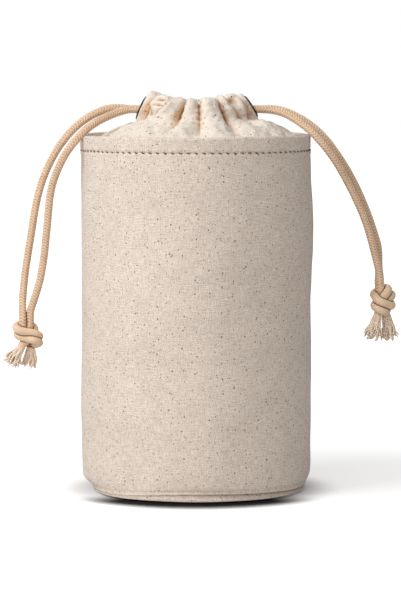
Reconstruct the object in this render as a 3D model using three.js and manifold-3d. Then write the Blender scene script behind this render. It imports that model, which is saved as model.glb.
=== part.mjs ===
// A soft round drawstring bag of canvas: a stitched tube on a turned-up base, a lining,
// and a collar whose channel is gathered by two cords that leave it through metal eyelets.
// Millimetres, +Z up, standing on the plane z = 0 with the axis of the tube as the Z axis.
import * as THREE from 'three';
import { mergeVertices } from 'three/addons/utils/BufferGeometryUtils.js';
import Module from 'manifold-3d';

const wasm = await Module();
wasm.setup();

// Driving sizes of the pouch
const BAG_RADIUS = 65;
const BAG_HEIGHT = 200;
const CANVAS_THICKNESS = 1.2;
const CLEARANCE = 0.3;
const BASE_CORNER_WIDTH = 6;
const BASE_SEAM_HEIGHT = 5;
const WALL_ROUNDING_HEIGHT = 12;
const WALL_ROUNDING_WIDTH = 2;

// Hem and its row of stitches
const HEM_DEPTH = 8.7;
const HEM_THICKNESS = 2.8;
const STITCH_LENGTH = 4.3;
const THREAD_RADIUS = 0.35;
const STITCH_SLANT = 0.25;

// Lining and the seam behind the canvas
const LINING_THICKNESS = 0.8;
const LINING_SLACK = 1.8;
const SEAM_ALLOWANCE_WIDTH = 12;
const SEAM_ALLOWANCE_THICKNESS = 1.4;

// Cord and the channel that gathers the neck
const CORD_DIAMETER = 4.4;
const NECK_RADIUS = 25.8;
const NECK_ABOVE_RIM = 12.4;
const NECK_LEAN = THREE.MathUtils.degToRad(20);
const CASING_BELOW_CORDS = 7.8;
const CASING_ABOVE_CORDS = 8.5;
const CASING_CLOTH = 1.2;
const CHANNEL_SLACK = 0.1;
const FOLD_DEPTH = 4.2;
const CASING_EDGE_ROUNDING = 1.4;

// Skirt of the collar, between the rim and the channel
const SKIRT_THICKNESS = 1.0;
const SKIRT_FOLD_HEIGHT = 2.4;
const SKIRT_LEVELS = 5;
// Handles of the skirt's curve, as shares of its run and rise, and where its folds stand highest
const SKIRT_SHOULDER = { run: 0.1, rise: 0.48 };
const SKIRT_SLOPE = { run: 0.42, rise: 0.06 };
const SKIRT_FOLD_BIAS = 1.4;

// Valleys between the gathered folds: degrees from the front, turning to the right
const FOLD_VALLEYS = [-37, -14, 3, 31, 57, 123, 146, 163, 187, 205, 228, 242, 300];
const FOLD_ROUNDNESS = 0.6;

// Eyelets
const EYELET_BORE_RADIUS = 5;
const EYELET_BARREL_WALL = 0.5;
const EYELET_FLANGE_RADIUS = 7;
const EYELET_FLANGE_THICKNESS = 0.8;
const WASHER_RADIUS = 6.4;
const WASHER_THICKNESS = 0.7;

// Cords outside the eyelets
const STRAND_SPACING = 4.7;
const SWING_PIVOT_BEYOND_NECK = 11.7;
const KNOT_WIDTH = 14.4;
const LEFT_KNOT_HEIGHT = 14.2;
const RIGHT_KNOT_HEIGHT = 17.4;
const KNOT_BAND_SWELL = 1.15;
const KNOT_LEAN = 0.5;
const KNOT_TILT = 0.55;
const LEFT_FRAY_LENGTH = 11.5;
const RIGHT_FRAY_LENGTH = 14;
const FRAY_MOUTH_RADIUS = 4.2;
const FRAY_WAIST = { radius: 0.8, length: 0.6 };

// Fineness of the round shapes
const WALL_SEGMENTS = 48;
const NECK_SEGMENTS = 72;
const METAL_SEGMENTS = 24;
const CORD_SIDES = 8;
const LOOP_MARKS = 24;
const LOOP_STEPS = 36;
const TAIL_STEPS = 34;

// Sizes that follow from the driving ones
const CORD_RADIUS = CORD_DIAMETER / 2;
const WALL_INNER_RADIUS = BAG_RADIUS - CANVAS_THICKNESS;
const HEM_BOTTOM = BAG_HEIGHT - HEM_DEPTH;
const HEM_INNER_RADIUS = BAG_RADIUS - HEM_THICKNESS;
const LINING_RADIUS = WALL_INNER_RADIUS - CLEARANCE - LINING_SLACK;
const CORD_LEVEL_OFFSET = CORD_RADIUS + CLEARANCE;
const CHANNEL_HALF_WIDTH = CORD_RADIUS + CLEARANCE + CHANNEL_SLACK;
const CHANNEL_HALF_HEIGHT = CORD_LEVEL_OFFSET + CORD_RADIUS + CLEARANCE;
const CASING_VALLEY = CHANNEL_HALF_WIDTH + CASING_CLOTH;
const WASHER_SEAT = CHANNEL_HALF_WIDTH + CLEARANCE / 2;
const EYELET_WALL_INNER = WASHER_SEAT + WASHER_THICKNESS + CLEARANCE;
const EYELET_WALL_OUTER = EYELET_WALL_INNER + CASING_CLOTH;
const FLANGE_SEAT = EYELET_WALL_OUTER + CLEARANCE;
const FLANGE_FACE = FLANGE_SEAT + EYELET_FLANGE_THICKNESS;
const BARREL_RADIUS = EYELET_BORE_RADIUS + EYELET_BARREL_WALL;
const NECK_HEIGHT = BAG_HEIGHT + NECK_ABOVE_RIM;
const EYELET_MIDDLE = (WASHER_SEAT + FLANGE_FACE) / 2;
const CORD_EXIT_HEIGHT = NECK_HEIGHT + EYELET_MIDDLE * Math.sin(NECK_LEAN);
const ROOT_INNER_END = NECK_RADIUS + CORD_RADIUS + CLEARANCE / 2;
const SWING_PIVOT_X = NECK_RADIUS + SWING_PIVOT_BEYOND_NECK;
const RIGHT = Math.PI / 2;
const LEFT = -Math.PI / 2;

// Finishes
const canvas = new THREE.MeshStandardMaterial({ color: 0xdccbba, roughness: 0.95, metalness: 0 });
const collarCloth = new THREE.MeshStandardMaterial({ color: 0xe9ddcf, roughness: 0.95, metalness: 0 });
const liningCloth = new THREE.MeshStandardMaterial({ color: 0xe6dccf, roughness: 0.9, metalness: 0 });
const thread = new THREE.MeshStandardMaterial({ color: 0xcbb8a2, roughness: 0.85, metalness: 0 });
const cotton = new THREE.MeshStandardMaterial({ color: 0xdebe9b, roughness: 0.9, metalness: 0 });
const yarn = new THREE.MeshStandardMaterial({ color: 0xe8d6c0, roughness: 0.95, metalness: 0 });
const gunmetal = new THREE.MeshStandardMaterial({ color: 0x4a4845, roughness: 0.35, metalness: 1 });

// A closed geometry as a solid that can be joined and cut.
function solidOf(geometry) {
  const bare = geometry.index ? geometry.toNonIndexed() : geometry.clone();
  for (const name of Object.keys(bare.attributes)) {
    if (name !== 'position') bare.deleteAttribute(name);
  }
  const merged = mergeVertices(bare, 1e-4);
  return new wasm.Manifold(new wasm.Mesh({
    numProp: 3,
    vertProperties: merged.attributes.position.array,
    triVerts: new Uint32Array(merged.index.array),
  }));
}

// A solid as a geometry that can be drawn.
function geometryOf(solid) {
  const mesh = solid.getMesh();
  const geometry = new THREE.BufferGeometry();
  geometry.setAttribute('position', new THREE.BufferAttribute(new Float32Array(mesh.vertProperties), 3));
  geometry.setIndex(new THREE.BufferAttribute(new Uint32Array(mesh.triVerts), 1));
  geometry.computeVertexNormals();
  return geometry;
}

function named(name, geometry, material) {
  const mesh = new THREE.Mesh(geometry, material);
  mesh.name = name;
  return mesh;
}

// A solid of revolution about Z from a profile of [radius, height] points.
function turned(profile, segments) {
  const points = profile.map(([radius, height]) => new THREE.Vector2(radius, height));
  return new THREE.LatheGeometry(points, segments).rotateX(Math.PI / 2);
}

// A closed ring whose section, a list of points, changes with the angle.
function ringOf(sectionAt, steps) {
  const positions = [];
  const index = [];
  let count = 0;
  for (let i = 0; i < steps; i += 1) {
    const section = sectionAt(i * 2 * Math.PI / steps);
    count = section.length;
    section.forEach((p) => positions.push(p.x, p.y, p.z));
  }
  for (let i = 0; i < steps; i += 1) {
    const here = i * count;
    const next = ((i + 1) % steps) * count;
    for (let j = 0; j < count; j += 1) {
      const k = (j + 1) % count;
      index.push(here + j, next + j, next + k, here + j, next + k, here + k);
    }
  }
  const geometry = new THREE.BufferGeometry();
  geometry.setAttribute('position', new THREE.Float32BufferAttribute(positions, 3));
  geometry.setIndex(index);
  geometry.computeVertexNormals();
  return geometry;
}

// A tube of round section along a list of [x, y, z] points.
function tubeAlong(points, radius, steps) {
  const path = new THREE.CatmullRomCurve3(points.map((p) => new THREE.Vector3(...p)), false, 'centripetal');
  const section = new THREE.Shape();
  section.absarc(0, 0, radius, 0, 2 * Math.PI, false);
  return new THREE.ExtrudeGeometry(section, {
    steps, extrudePath: path, curveSegments: CORD_SIDES / 2, bevelEnabled: false,
  });
}

// A point at an angle from the front, at a radius and a height.
function around(angle, radius, height) {
  return new THREE.Vector3(radius * Math.sin(angle), -radius * Math.cos(angle), height);
}

// A point of the gathered neck: out is along the leaning normal, up is along the leaning wall.
function neckPoint(angle, out, up) {
  const radius = NECK_RADIUS + out * Math.cos(NECK_LEAN) - up * Math.sin(NECK_LEAN);
  const height = NECK_HEIGHT + out * Math.sin(NECK_LEAN) + up * Math.cos(NECK_LEAN);
  return around(angle, radius, height);
}

// How far a fold stands out at an angle: 0 in a valley, 1 on a ridge.
function foldAt(angle) {
  const full = 360;
  const first = FOLD_VALLEYS[0];
  const degrees = first + THREE.MathUtils.euclideanModulo(THREE.MathUtils.radToDeg(angle) - first, full);
  const ends = [...FOLD_VALLEYS.slice(1), first + full];
  const k = ends.findIndex((end) => degrees < end);
  const share = (degrees - FOLD_VALLEYS[k]) / (ends[k] - FOLD_VALLEYS[k]);
  return Math.pow(Math.max(0, Math.sin(Math.PI * share)), FOLD_ROUNDNESS);
}

// The frame of an eyelet: X runs out through its bore, Z up the leaning wall.
function eyeletFrame(angle) {
  const origin = neckPoint(angle, 0, 0);
  const out = neckPoint(angle, 1, 0).sub(origin);
  const up = neckPoint(angle, 0, 1).sub(origin);
  const across = new THREE.Vector3().crossVectors(up, out);
  return new THREE.Matrix4().makeBasis(out, across, up).setPosition(origin);
}

// A solid of revolution about the bore of an eyelet, from [radius, distance out] points.
function turnedOnBore(profile, angle) {
  const points = profile.map(([radius, out]) => new THREE.Vector2(radius, out));
  const geometry = new THREE.LatheGeometry(points, METAL_SEGMENTS).rotateZ(-Math.PI / 2);
  return geometry.applyMatrix4(eyeletFrame(angle));
}

function makeOuterWall() {
  const bottom = BASE_SEAM_HEIGHT + CLEARANCE;
  const top = HEM_BOTTOM - CLEARANCE;
  const outer = [];
  const inner = [];
  const roundingSteps = 3;
  for (let i = 0; i <= roundingSteps; i += 1) {
    const turn = i / roundingSteps * Math.PI / 2;
    const inset = WALL_ROUNDING_WIDTH * (1 - Math.sin(turn));
    const height = bottom + WALL_ROUNDING_HEIGHT * (1 - Math.cos(turn));
    outer.push([BAG_RADIUS - inset, height]);
    inner.push([WALL_INNER_RADIUS - inset, height]);
  }
  outer.push([BAG_RADIUS, top]);
  inner.push([WALL_INNER_RADIUS, top]);
  return named('outer_wall', turned([...inner, ...outer.reverse(), inner[0]].reverse(), WALL_SEGMENTS), canvas);
}

// A shallow dish whose rim turns up, from its outer radius at the floor to its rim.
function dishProfile(floorRadius, rimRadius, floorHeight, rimHeight, thickness) {
  const steps = 3;
  const outer = [[0, floorHeight]];
  const inner = [[0, floorHeight + thickness]];
  for (let i = 0; i <= steps; i += 1) {
    const turn = i / steps * Math.PI / 2;
    const radius = floorRadius + (rimRadius - floorRadius) * Math.sin(turn);
    const height = floorHeight + (rimHeight - floorHeight) * (1 - Math.cos(turn));
    outer.push([radius, height]);
    inner.push([radius - thickness * Math.sin(turn), Math.min(rimHeight, height + thickness * Math.cos(turn))]);
  }
  return [...outer, ...inner.reverse()];
}

function makeBasePanel() {
  const rim = BAG_RADIUS - WALL_ROUNDING_WIDTH;
  const profile = dishProfile(rim - BASE_CORNER_WIDTH, rim, 0, BASE_SEAM_HEIGHT, CANVAS_THICKNESS);
  return named('base_panel', turned(profile, WALL_SEGMENTS), canvas);
}

function makeRimHem() {
  const fold = HEM_THICKNESS / 2;
  const middle = (BAG_RADIUS + HEM_INNER_RADIUS) / 2;
  const top = BAG_HEIGHT - fold;
  const foldSteps = 4;
  const profile = [[HEM_INNER_RADIUS, HEM_BOTTOM], [BAG_RADIUS, HEM_BOTTOM]];
  for (let i = 0; i <= foldSteps; i += 1) {
    const turn = i / foldSteps * Math.PI;
    profile.push([middle + fold * Math.cos(turn), top + fold * Math.sin(turn)]);
  }
  profile.push([HEM_INNER_RADIUS, HEM_BOTTOM]);
  return named('rim_hem', turned(profile, WALL_SEGMENTS), canvas);
}

// The thread of the hem as one run: its stitches slant up and down in turn.
function makeHemStitching() {
  const stitches = Math.round(2 * Math.PI * BAG_RADIUS / STITCH_LENGTH);
  const steps = 2 * stitches;
  const centre = BAG_RADIUS + CLEARANCE + THREAD_RADIUS;
  const middle = HEM_BOTTOM - CLEARANCE / 2;
  const thin = THREAD_RADIUS;
  const section = (angle) => {
    const step = Math.round(angle / (2 * Math.PI) * steps);
    const height = middle + (step % 2 === 0 ? STITCH_SLANT : -STITCH_SLANT);
    return [[0, -thin], [thin, 0], [0, thin], [-thin, 0]]
      .map(([out, up]) => around(angle, centre + out, height + up));
  };
  return named('hem_stitching', ringOf(section, steps), thread);
}

function makeLiningWall() {
  const bottom = BASE_SEAM_HEIGHT + CLEARANCE;
  const inner = LINING_RADIUS - LINING_THICKNESS;
  const profile = [
    [inner, bottom], [LINING_RADIUS, bottom], [LINING_RADIUS, HEM_BOTTOM], [inner, HEM_BOTTOM], [inner, bottom],
  ];
  return named('lining_wall', turned(profile, WALL_SEGMENTS), liningCloth);
}

function makeLiningBase() {
  const floorRadius = BAG_RADIUS - WALL_ROUNDING_WIDTH - BASE_CORNER_WIDTH - CANVAS_THICKNESS;
  const floorHeight = CANVAS_THICKNESS + CLEARANCE;
  const rim = Math.min(LINING_RADIUS, BAG_RADIUS - WALL_ROUNDING_WIDTH - CANVAS_THICKNESS - CLEARANCE);
  const profile = dishProfile(floorRadius, rim, floorHeight, BASE_SEAM_HEIGHT, LINING_THICKNESS);
  return named('lining_base', turned(profile, WALL_SEGMENTS), liningCloth);
}

function makeBackSeamAllowance() {
  const outer = WALL_INNER_RADIUS - CLEARANCE;
  const inner = Math.max(outer - SEAM_ALLOWANCE_THICKNESS, LINING_RADIUS + CLEARANCE);
  const half = SEAM_ALLOWANCE_WIDTH / 2 / BAG_RADIUS;
  const back = Math.PI / 2;
  const outline = new THREE.Shape();
  outline.absarc(0, 0, outer, back - half, back + half, false);
  outline.absarc(0, 0, inner, back + half, back - half, true);
  const bottom = BASE_SEAM_HEIGHT + WALL_ROUNDING_HEIGHT + CLEARANCE;
  const depth = HEM_BOTTOM - CLEARANCE - bottom;
  const strip = new THREE.ExtrudeGeometry(outline, { depth, curveSegments: 4, bevelEnabled: false });
  return named('back_seam_allowance', strip.translate(0, 0, bottom), canvas);
}

function makeCollarSkirt() {
  const footRadius = LINING_RADIUS - SKIRT_THICKNESS / 2;
  const foot = new THREE.Vector2(footRadius, HEM_BOTTOM + CLEARANCE);
  const seat = neckPoint(0, CASING_VALLEY - CASING_CLOTH / 2, -CASING_BELOW_CORDS);
  const top = new THREE.Vector2(-seat.y, seat.z - CLEARANCE - SKIRT_THICKNESS / 2 / Math.cos(NECK_LEAN));
  const rise = top.y - foot.y;
  const run = foot.x - top.x;
  const shoulder = new THREE.Vector2(foot.x - SKIRT_SHOULDER.run * run, foot.y + SKIRT_SHOULDER.rise * rise);
  const slope = new THREE.Vector2(top.x + SKIRT_SLOPE.run * run, top.y - SKIRT_SLOPE.rise * rise);
  const line = new THREE.CubicBezierCurve(foot, shoulder, slope, top);
  const section = (angle) => {
    const fold = foldAt(angle);
    const outside = [];
    const inside = [];
    for (let i = 0; i <= SKIRT_LEVELS; i += 1) {
      const share = i / SKIRT_LEVELS;
      const middle = line.getPoint(share);
      const along = line.getTangent(share);
      const normal = new THREE.Vector2(along.y, -along.x);
      const lift = SKIRT_FOLD_HEIGHT * fold * Math.sin(Math.PI * Math.pow(share, SKIRT_FOLD_BIAS));
      const outer = middle.clone().addScaledVector(normal, lift + SKIRT_THICKNESS / 2);
      const inner = middle.clone().addScaledVector(normal, lift - SKIRT_THICKNESS / 2);
      outside.push(around(angle, outer.x, outer.y));
      inside.push(around(angle, inner.x, inner.y));
    }
    return [...outside, ...inside.reverse()];
  };
  return named('collar_skirt', ringOf(section, NECK_SEGMENTS), collarCloth);
}

// Outline of the channel's cloth at an angle, from its inner to its outer layer.
function casingSection(angle) {
  const depth = CASING_VALLEY + FOLD_DEPTH * foldAt(angle);
  const low = -CASING_BELOW_CORDS;
  const high = CASING_ABOVE_CORDS;
  const r = CASING_EDGE_ROUNDING;
  const half = [[depth - r / 2, low], [depth, low + r], [depth, high - 2 * r], [depth - r, high - r / 2], [r / 2, high]];
  const other = half.map(([out, up]) => [-out, up]).reverse();
  return [...half, ...other].map(([out, up]) => neckPoint(angle, out, up));
}

function makeCasing() {
  const cloth = solidOf(ringOf(casingSection, NECK_SEGMENTS));
  const w = CHANNEL_HALF_WIDTH;
  const h = CHANNEL_HALF_HEIGHT;
  const channelSection = (angle) => [[w, -h], [w, h], [-w, h], [-w, -h]].map(([o, u]) => neckPoint(angle, o, u));
  let casing = cloth.subtract(solidOf(ringOf(channelSection, NECK_SEGMENTS)));
  for (const angle of [RIGHT, LEFT]) {
    const faceDepth = 2 * FOLD_DEPTH + CASING_VALLEY;
    const faceSide = 2 * (CASING_BELOW_CORDS + CASING_ABOVE_CORDS);
    const beyond = new THREE.BoxGeometry(faceDepth, faceSide, faceSide);
    beyond.translate(EYELET_WALL_OUTER + faceDepth / 2, 0, 0).applyMatrix4(eyeletFrame(angle));
    const recessRadius = WASHER_RADIUS + CLEARANCE;
    const recess = turnedOnBore(
      [[0, w - CLEARANCE], [recessRadius, w - CLEARANCE], [recessRadius, EYELET_WALL_INNER], [0, EYELET_WALL_INNER]],
      angle,
    );
    const holeRadius = BARREL_RADIUS + CLEARANCE;
    const hole = turnedOnBore([[0, 0], [holeRadius, 0], [holeRadius, faceDepth], [0, faceDepth]], angle);
    casing = casing.subtract(solidOf(beyond)).subtract(solidOf(recess)).subtract(solidOf(hole));
  }
  return named('drawstring_casing', geometryOf(casing), collarCloth);
}

function makeCasingStitching() {
  const thin = THREAD_RADIUS;
  const level = -CASING_BELOW_CORDS + CASING_EDGE_ROUNDING + thin;
  const section = (angle) => {
    const out = -(CASING_VALLEY + FOLD_DEPTH * foldAt(angle)) - CLEARANCE - thin;
    return [[0, -thin], [thin, 0], [0, thin], [-thin, 0]].map(([o, u]) => neckPoint(angle, out + o, level + u));
  };
  return named('casing_stitching', ringOf(section, NECK_SEGMENTS), thread);
}

function makeEyelet(side, angle) {
  const edge = EYELET_FLANGE_THICKNESS / 2;
  const eyelet = [
    [EYELET_BORE_RADIUS, WASHER_SEAT], [BARREL_RADIUS, WASHER_SEAT], [BARREL_RADIUS, FLANGE_SEAT],
    [EYELET_FLANGE_RADIUS, FLANGE_SEAT], [EYELET_FLANGE_RADIUS, FLANGE_FACE - edge],
    [EYELET_FLANGE_RADIUS - edge, FLANGE_FACE], [BARREL_RADIUS, FLANGE_FACE],
    [EYELET_BORE_RADIUS, FLANGE_FACE - edge], [EYELET_BORE_RADIUS, WASHER_SEAT],
  ];
  const bore = BARREL_RADIUS + CLEARANCE;
  const washer = [
    [bore, WASHER_SEAT], [WASHER_RADIUS, WASHER_SEAT], [WASHER_RADIUS, WASHER_SEAT + WASHER_THICKNESS],
    [bore, WASHER_SEAT + WASHER_THICKNESS], [bore, WASHER_SEAT],
  ];
  return [
    named(side + '_eyelet', turnedOnBore(eyelet, angle), gunmetal),
    named(side + '_eyelet_washer', turnedOnBore(washer, angle), gunmetal),
  ];
}

// The stretch of a cord inside the channel: a ring that opens behind its own eyelet.
function makeDrawcordLoop(side, eyeletAngle, level) {
  const opening = Math.asin((STRAND_SPACING / 2 + CORD_RADIUS + CLEARANCE) / NECK_RADIUS);
  const points = [];
  for (let i = 0; i <= LOOP_MARKS; i += 1) {
    const angle = eyeletAngle + opening + (2 * Math.PI - 2 * opening) * i / LOOP_MARKS;
    points.push(neckPoint(angle, 0, level).toArray());
  }
  return named(side + '_drawcord_loop', tubeAlong(points, CORD_RADIUS, LOOP_STEPS), cotton);
}

// Routes of the four free strands, from the swing pivot beside the eyelet to the knot.
const FRONT_Y = -STRAND_SPACING / 2;
const BACK_Y = STRAND_SPACING / 2;
const STRANDS = {
  left_front: [
    [-SWING_PIVOT_X, FRONT_Y, CORD_EXIT_HEIGHT], [-43.2, -3.6, 213.2], [-48.8, -7.0, 211.6], [-54.6, -11.6, 208.8],
    [-60.4, -16.0, 204.8], [-65.4, -18.8, 199.8], [-69.8, -19.4, 194.4], [-73.6, -18.4, 188.6],
    [-77.0, -16.2, 181.6], [-79.8, -13.6, 174.2], [-81.8, -11.4, 165.4], [-83.0, -9.4, 154.6],
    [-84.2, -7.6, 143.0], [-85.6, -6.0, 131.0], [-87.8, -4.6, 119.0], [-90.8, -3.6, 107.6],
    [-92.6, -3.2, 101.2], [-92.9, -3.2, 95.3],
  ],
  left_back: [
    [-SWING_PIVOT_X, BACK_Y, CORD_EXIT_HEIGHT], [-43.2, 2.4, 213.7], [-48.8, 2.2, 212.5], [-54.4, 1.8, 210.2],
    [-60.0, 1.4, 207.0], [-65.2, 1.0, 203.2], [-70.2, 0.8, 198.6], [-74.6, 0.8, 193.6],
    [-78.6, 0.8, 188.0], [-82.2, 0.8, 181.6], [-85.8, 0.8, 174.0], [-88.6, 1.0, 166.0],
    [-91.0, 1.2, 156.0], [-93.0, 1.4, 144.0], [-95.0, 1.4, 132.0], [-96.8, 1.4, 120.0],
    [-97.6, 1.4, 109.0], [-97.4, 1.4, 101.2], [-97.0, 1.4, 95.3],
  ],
  right_front: [
    [SWING_PIVOT_X, FRONT_Y, CORD_EXIT_HEIGHT], [43.0, -3.2, 213.4], [48.4, -5.6, 212.0], [54.0, -9.0, 209.2],
    [59.6, -12.2, 205.4], [65.0, -14.4, 200.8], [69.6, -15.0, 195.8], [74.0, -14.6, 190.2],
    [78.2, -13.4, 184.2], [82.2, -11.6, 177.4], [86.4, -9.6, 169.6], [90.6, -7.6, 161.0],
    [94.8, -5.8, 151.0], [98.2, -4.4, 140.0], [100.8, -3.4, 129.6], [102.4, -3.0, 122.6], [102.7, -3.0, 116.6],
  ],
  right_back: [
    [SWING_PIVOT_X, BACK_Y, CORD_EXIT_HEIGHT], [43.0, 2.2, 214.0], [48.6, 1.2, 212.9], [54.4, -0.6, 210.6],
    [60.2, -2.6, 207.4], [65.8, -4.4, 203.4], [70.8, -5.4, 198.6], [75.6, -5.6, 192.8],
    [80.2, -5.0, 186.4], [84.8, -3.8, 179.0], [89.4, -2.4, 170.4], [93.6, -1.0, 161.2],
    [97.6, 0.2, 151.0], [101.2, 1.0, 140.0], [104.4, 1.6, 129.6], [106.4, 1.8, 122.6], [106.9, 1.8, 116.6],
  ],
};

// A short straight stretch through the eyelet, inwards of the pivot.
function makeCordRoot(strand) {
  const [pivotX, y, height] = STRANDS[strand][0];
  const inward = -Math.sign(pivotX);
  const start = [-inward * ROOT_INNER_END, y, height];
  const end = [pivotX + inward * (CORD_RADIUS + CLEARANCE), y, height];
  return named(strand + '_cord_root', tubeAlong([start, end], CORD_RADIUS, 1), cotton);
}

// A free strand with a ball end on the pivot, so that it can swing beside the root.
function makeCordTail(strand) {
  const route = STRANDS[strand];
  const tube = solidOf(tubeAlong(route, CORD_RADIUS, TAIL_STEPS));
  const ball = new THREE.SphereGeometry(CORD_RADIUS, CORD_SIDES, CORD_SIDES / 2).translate(...route[0]);
  return named(strand + '_cord_tail', geometryOf(tube.add(solidOf(ball))), cotton);
}

// Where the cord ends leave a knot, from its middle, and the way each tuft points.
const CORD_ENDS = {
  left_front: { offset: [-3.4, -1.6], lean: [-0.7, -0.1, -1] },
  left_back: { offset: [1.6, 2.6], lean: [-0.1, 0.1, -1] },
  right_front: { offset: [-2.9, -2.6], lean: [-0.27, -0.1, -1] },
  right_back: { offset: [1.9, 1.8], lean: [0.16, 0.1, -1] },
};

const KNOT_HEIGHTS = { left: LEFT_KNOT_HEIGHT, right: RIGHT_KNOT_HEIGHT };
const FRAY_LENGTHS = { left: LEFT_FRAY_LENGTH, right: RIGHT_FRAY_LENGTH };

function knotCentre(side) {
  const [front, back] = [side + '_front', side + '_back'].map((strand) => STRANDS[strand].at(-1));
  const height = front[2] - CLEARANCE - KNOT_HEIGHTS[side] / 2;
  return new THREE.Vector3((front[0] + back[0]) / 2, (front[1] + back[1]) / 2, height);
}

// A round bar from one point to another.
function bar(from, to, radius) {
  const axis = new THREE.Vector3().subVectors(to, from);
  const turn = new THREE.Quaternion().setFromUnitVectors(new THREE.Vector3(0, 1, 0), axis.clone().normalize());
  const middle = new THREE.Vector3().addVectors(from, to).multiplyScalar(0.5);
  const geometry = new THREE.CylinderGeometry(radius, radius, axis.length(), CORD_SIDES);
  return geometry.applyQuaternion(turn).translate(...middle);
}

// The overhand knot in both ends of a cord: a band that crosses itself round a middle.
function makeKnot(side) {
  const centre = knotCentre(side);
  const bandRadius = CORD_RADIUS * KNOT_BAND_SWELL;
  const halfHeight = KNOT_HEIGHTS[side] / 2;
  const girth = KNOT_WIDTH / 2 - bandRadius;
  const stretch = halfHeight / (KNOT_WIDTH / 2);
  const lean = side === 'left' ? KNOT_LEAN : -KNOT_LEAN;
  const core = new THREE.SphereGeometry(girth + bandRadius / 2, 10, 6).scale(1, 1, stretch);
  let knot = solidOf(core.translate(...centre));
  for (const shift of [-1, 1]) {
    const band = new THREE.TorusGeometry(girth, bandRadius, 6, 16).rotateY(lean).rotateX(KNOT_TILT * shift);
    band.scale(1, 1, stretch).translate(centre.x, centre.y + shift * bandRadius / 2, centre.z);
    knot = knot.add(solidOf(band));
  }
  for (const strand of [side + '_front', side + '_back']) {
    const entry = new THREE.Vector3(...STRANDS[strand].at(-1));
    entry.z -= CLEARANCE;
    const below = new THREE.Vector3(entry.x, entry.y, centre.z);
    const { root, away } = cordEnd(strand);
    const exit = root.clone().addScaledVector(away, -CLEARANCE);
    const inside = root.clone().addScaledVector(away, -halfHeight);
    knot = knot.add(solidOf(bar(below, entry, CORD_RADIUS))).add(solidOf(bar(inside, exit, CORD_RADIUS)));
  }
  return named(side + '_knot', geometryOf(knot), cotton);
}

// The start of a tuft, just under its knot, and the way it points.
function cordEnd(strand) {
  const { offset, lean } = CORD_ENDS[strand];
  const [side] = strand.split('_');
  const root = knotCentre(side);
  root.add(new THREE.Vector3(offset[0], offset[1], -KNOT_HEIGHTS[side] / 2));
  return { root, away: new THREE.Vector3(...lean).normalize() };
}

// The loosened yarns below a knot as a flared tuft.
function makeFray(strand) {
  const { root, away } = cordEnd(strand);
  const length = FRAY_LENGTHS[strand.split('_')[0]];
  const waist = [FRAY_MOUTH_RADIUS * FRAY_WAIST.radius, length * FRAY_WAIST.length];
  const profile = [[0, 0], [CORD_RADIUS, 0], waist, [FRAY_MOUTH_RADIUS, length], [0, length]];
  const points = profile.map(([radius, out]) => new THREE.Vector2(radius, out));
  const turn = new THREE.Quaternion().setFromUnitVectors(new THREE.Vector3(0, 1, 0), away);
  const tuft = new THREE.LatheGeometry(points, CORD_SIDES).applyQuaternion(turn).translate(...root);
  return named(strand + '_fray', tuft, yarn);
}

const bag = new THREE.Group();
bag.add(makeOuterWall(), makeBasePanel(), makeRimHem(), makeHemStitching());
bag.add(makeLiningWall(), makeLiningBase(), makeBackSeamAllowance(), makeCollarSkirt());

const neck = new THREE.Group();
neck.add(makeCasing(), makeCasingStitching());
neck.add(...makeEyelet('left', LEFT), ...makeEyelet('right', RIGHT));
neck.add(makeDrawcordLoop('left', LEFT, -CORD_LEVEL_OFFSET), makeDrawcordLoop('right', RIGHT, CORD_LEVEL_OFFSET));
bag.add(neck);

for (const side of ['left', 'right']) {
  const cords = new THREE.Group();
  for (const strand of [side + '_front', side + '_back']) {
    cords.add(makeCordRoot(strand), makeCordTail(strand), makeFray(strand));
  }
  cords.add(makeKnot(side));
  bag.add(cords);
}

export default bag;
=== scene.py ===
"""Drawstring cosmetic bag: a round pouch of seeded canvas, a gathered collar, two eyelets and knotted cords.

Every length is in metres, in the frame of the solids: +Z up, -Y the front, the bag standing on z = 0.
Angles round the bag start at its front and turn to the right.
"""
import logging
import math
from dataclasses import dataclass, field
from enum import Enum
from typing import Optional, Sequence

import bpy
import numpy as np
from mathutils import Matrix, Vector


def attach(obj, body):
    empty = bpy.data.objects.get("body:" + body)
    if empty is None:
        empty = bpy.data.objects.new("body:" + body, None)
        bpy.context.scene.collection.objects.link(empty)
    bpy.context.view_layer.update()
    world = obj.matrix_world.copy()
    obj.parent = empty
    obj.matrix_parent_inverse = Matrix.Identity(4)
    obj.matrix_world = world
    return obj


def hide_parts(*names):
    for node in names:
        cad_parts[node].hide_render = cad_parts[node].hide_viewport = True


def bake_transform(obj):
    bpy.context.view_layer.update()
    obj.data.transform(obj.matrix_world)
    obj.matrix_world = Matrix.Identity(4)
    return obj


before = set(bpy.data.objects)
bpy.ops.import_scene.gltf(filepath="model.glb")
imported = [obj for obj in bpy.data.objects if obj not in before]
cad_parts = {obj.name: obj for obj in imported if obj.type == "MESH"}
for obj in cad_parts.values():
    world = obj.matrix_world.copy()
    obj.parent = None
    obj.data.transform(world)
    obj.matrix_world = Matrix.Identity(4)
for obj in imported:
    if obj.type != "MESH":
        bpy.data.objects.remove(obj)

Array = np.ndarray
Piece = bpy.types.Object
Tree = bpy.types.NodeTree
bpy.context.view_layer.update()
LOG = logging.getLogger("bag")
MM = 0.001
TAU = 2 * math.pi
WHITE = (1.0, 1.0, 1.0, 1.0)
CLOTH_UV = "cloth"


class Named(Enum):
    """A choice whose members' names stand in the names of the pieces."""

    @property
    def word(self) -> str:
        """The member's name in the names of the pieces."""
        return self.name.lower()


class Side(Named):
    """The two sides that the cords leave from, with the sign of X there."""

    LEFT = -1
    RIGHT = 1


class Strand(Named):
    """The two ends of a cord beside each other, with the sign of Y at the eyelet."""

    FRONT = -1
    BACK = 1


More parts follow.
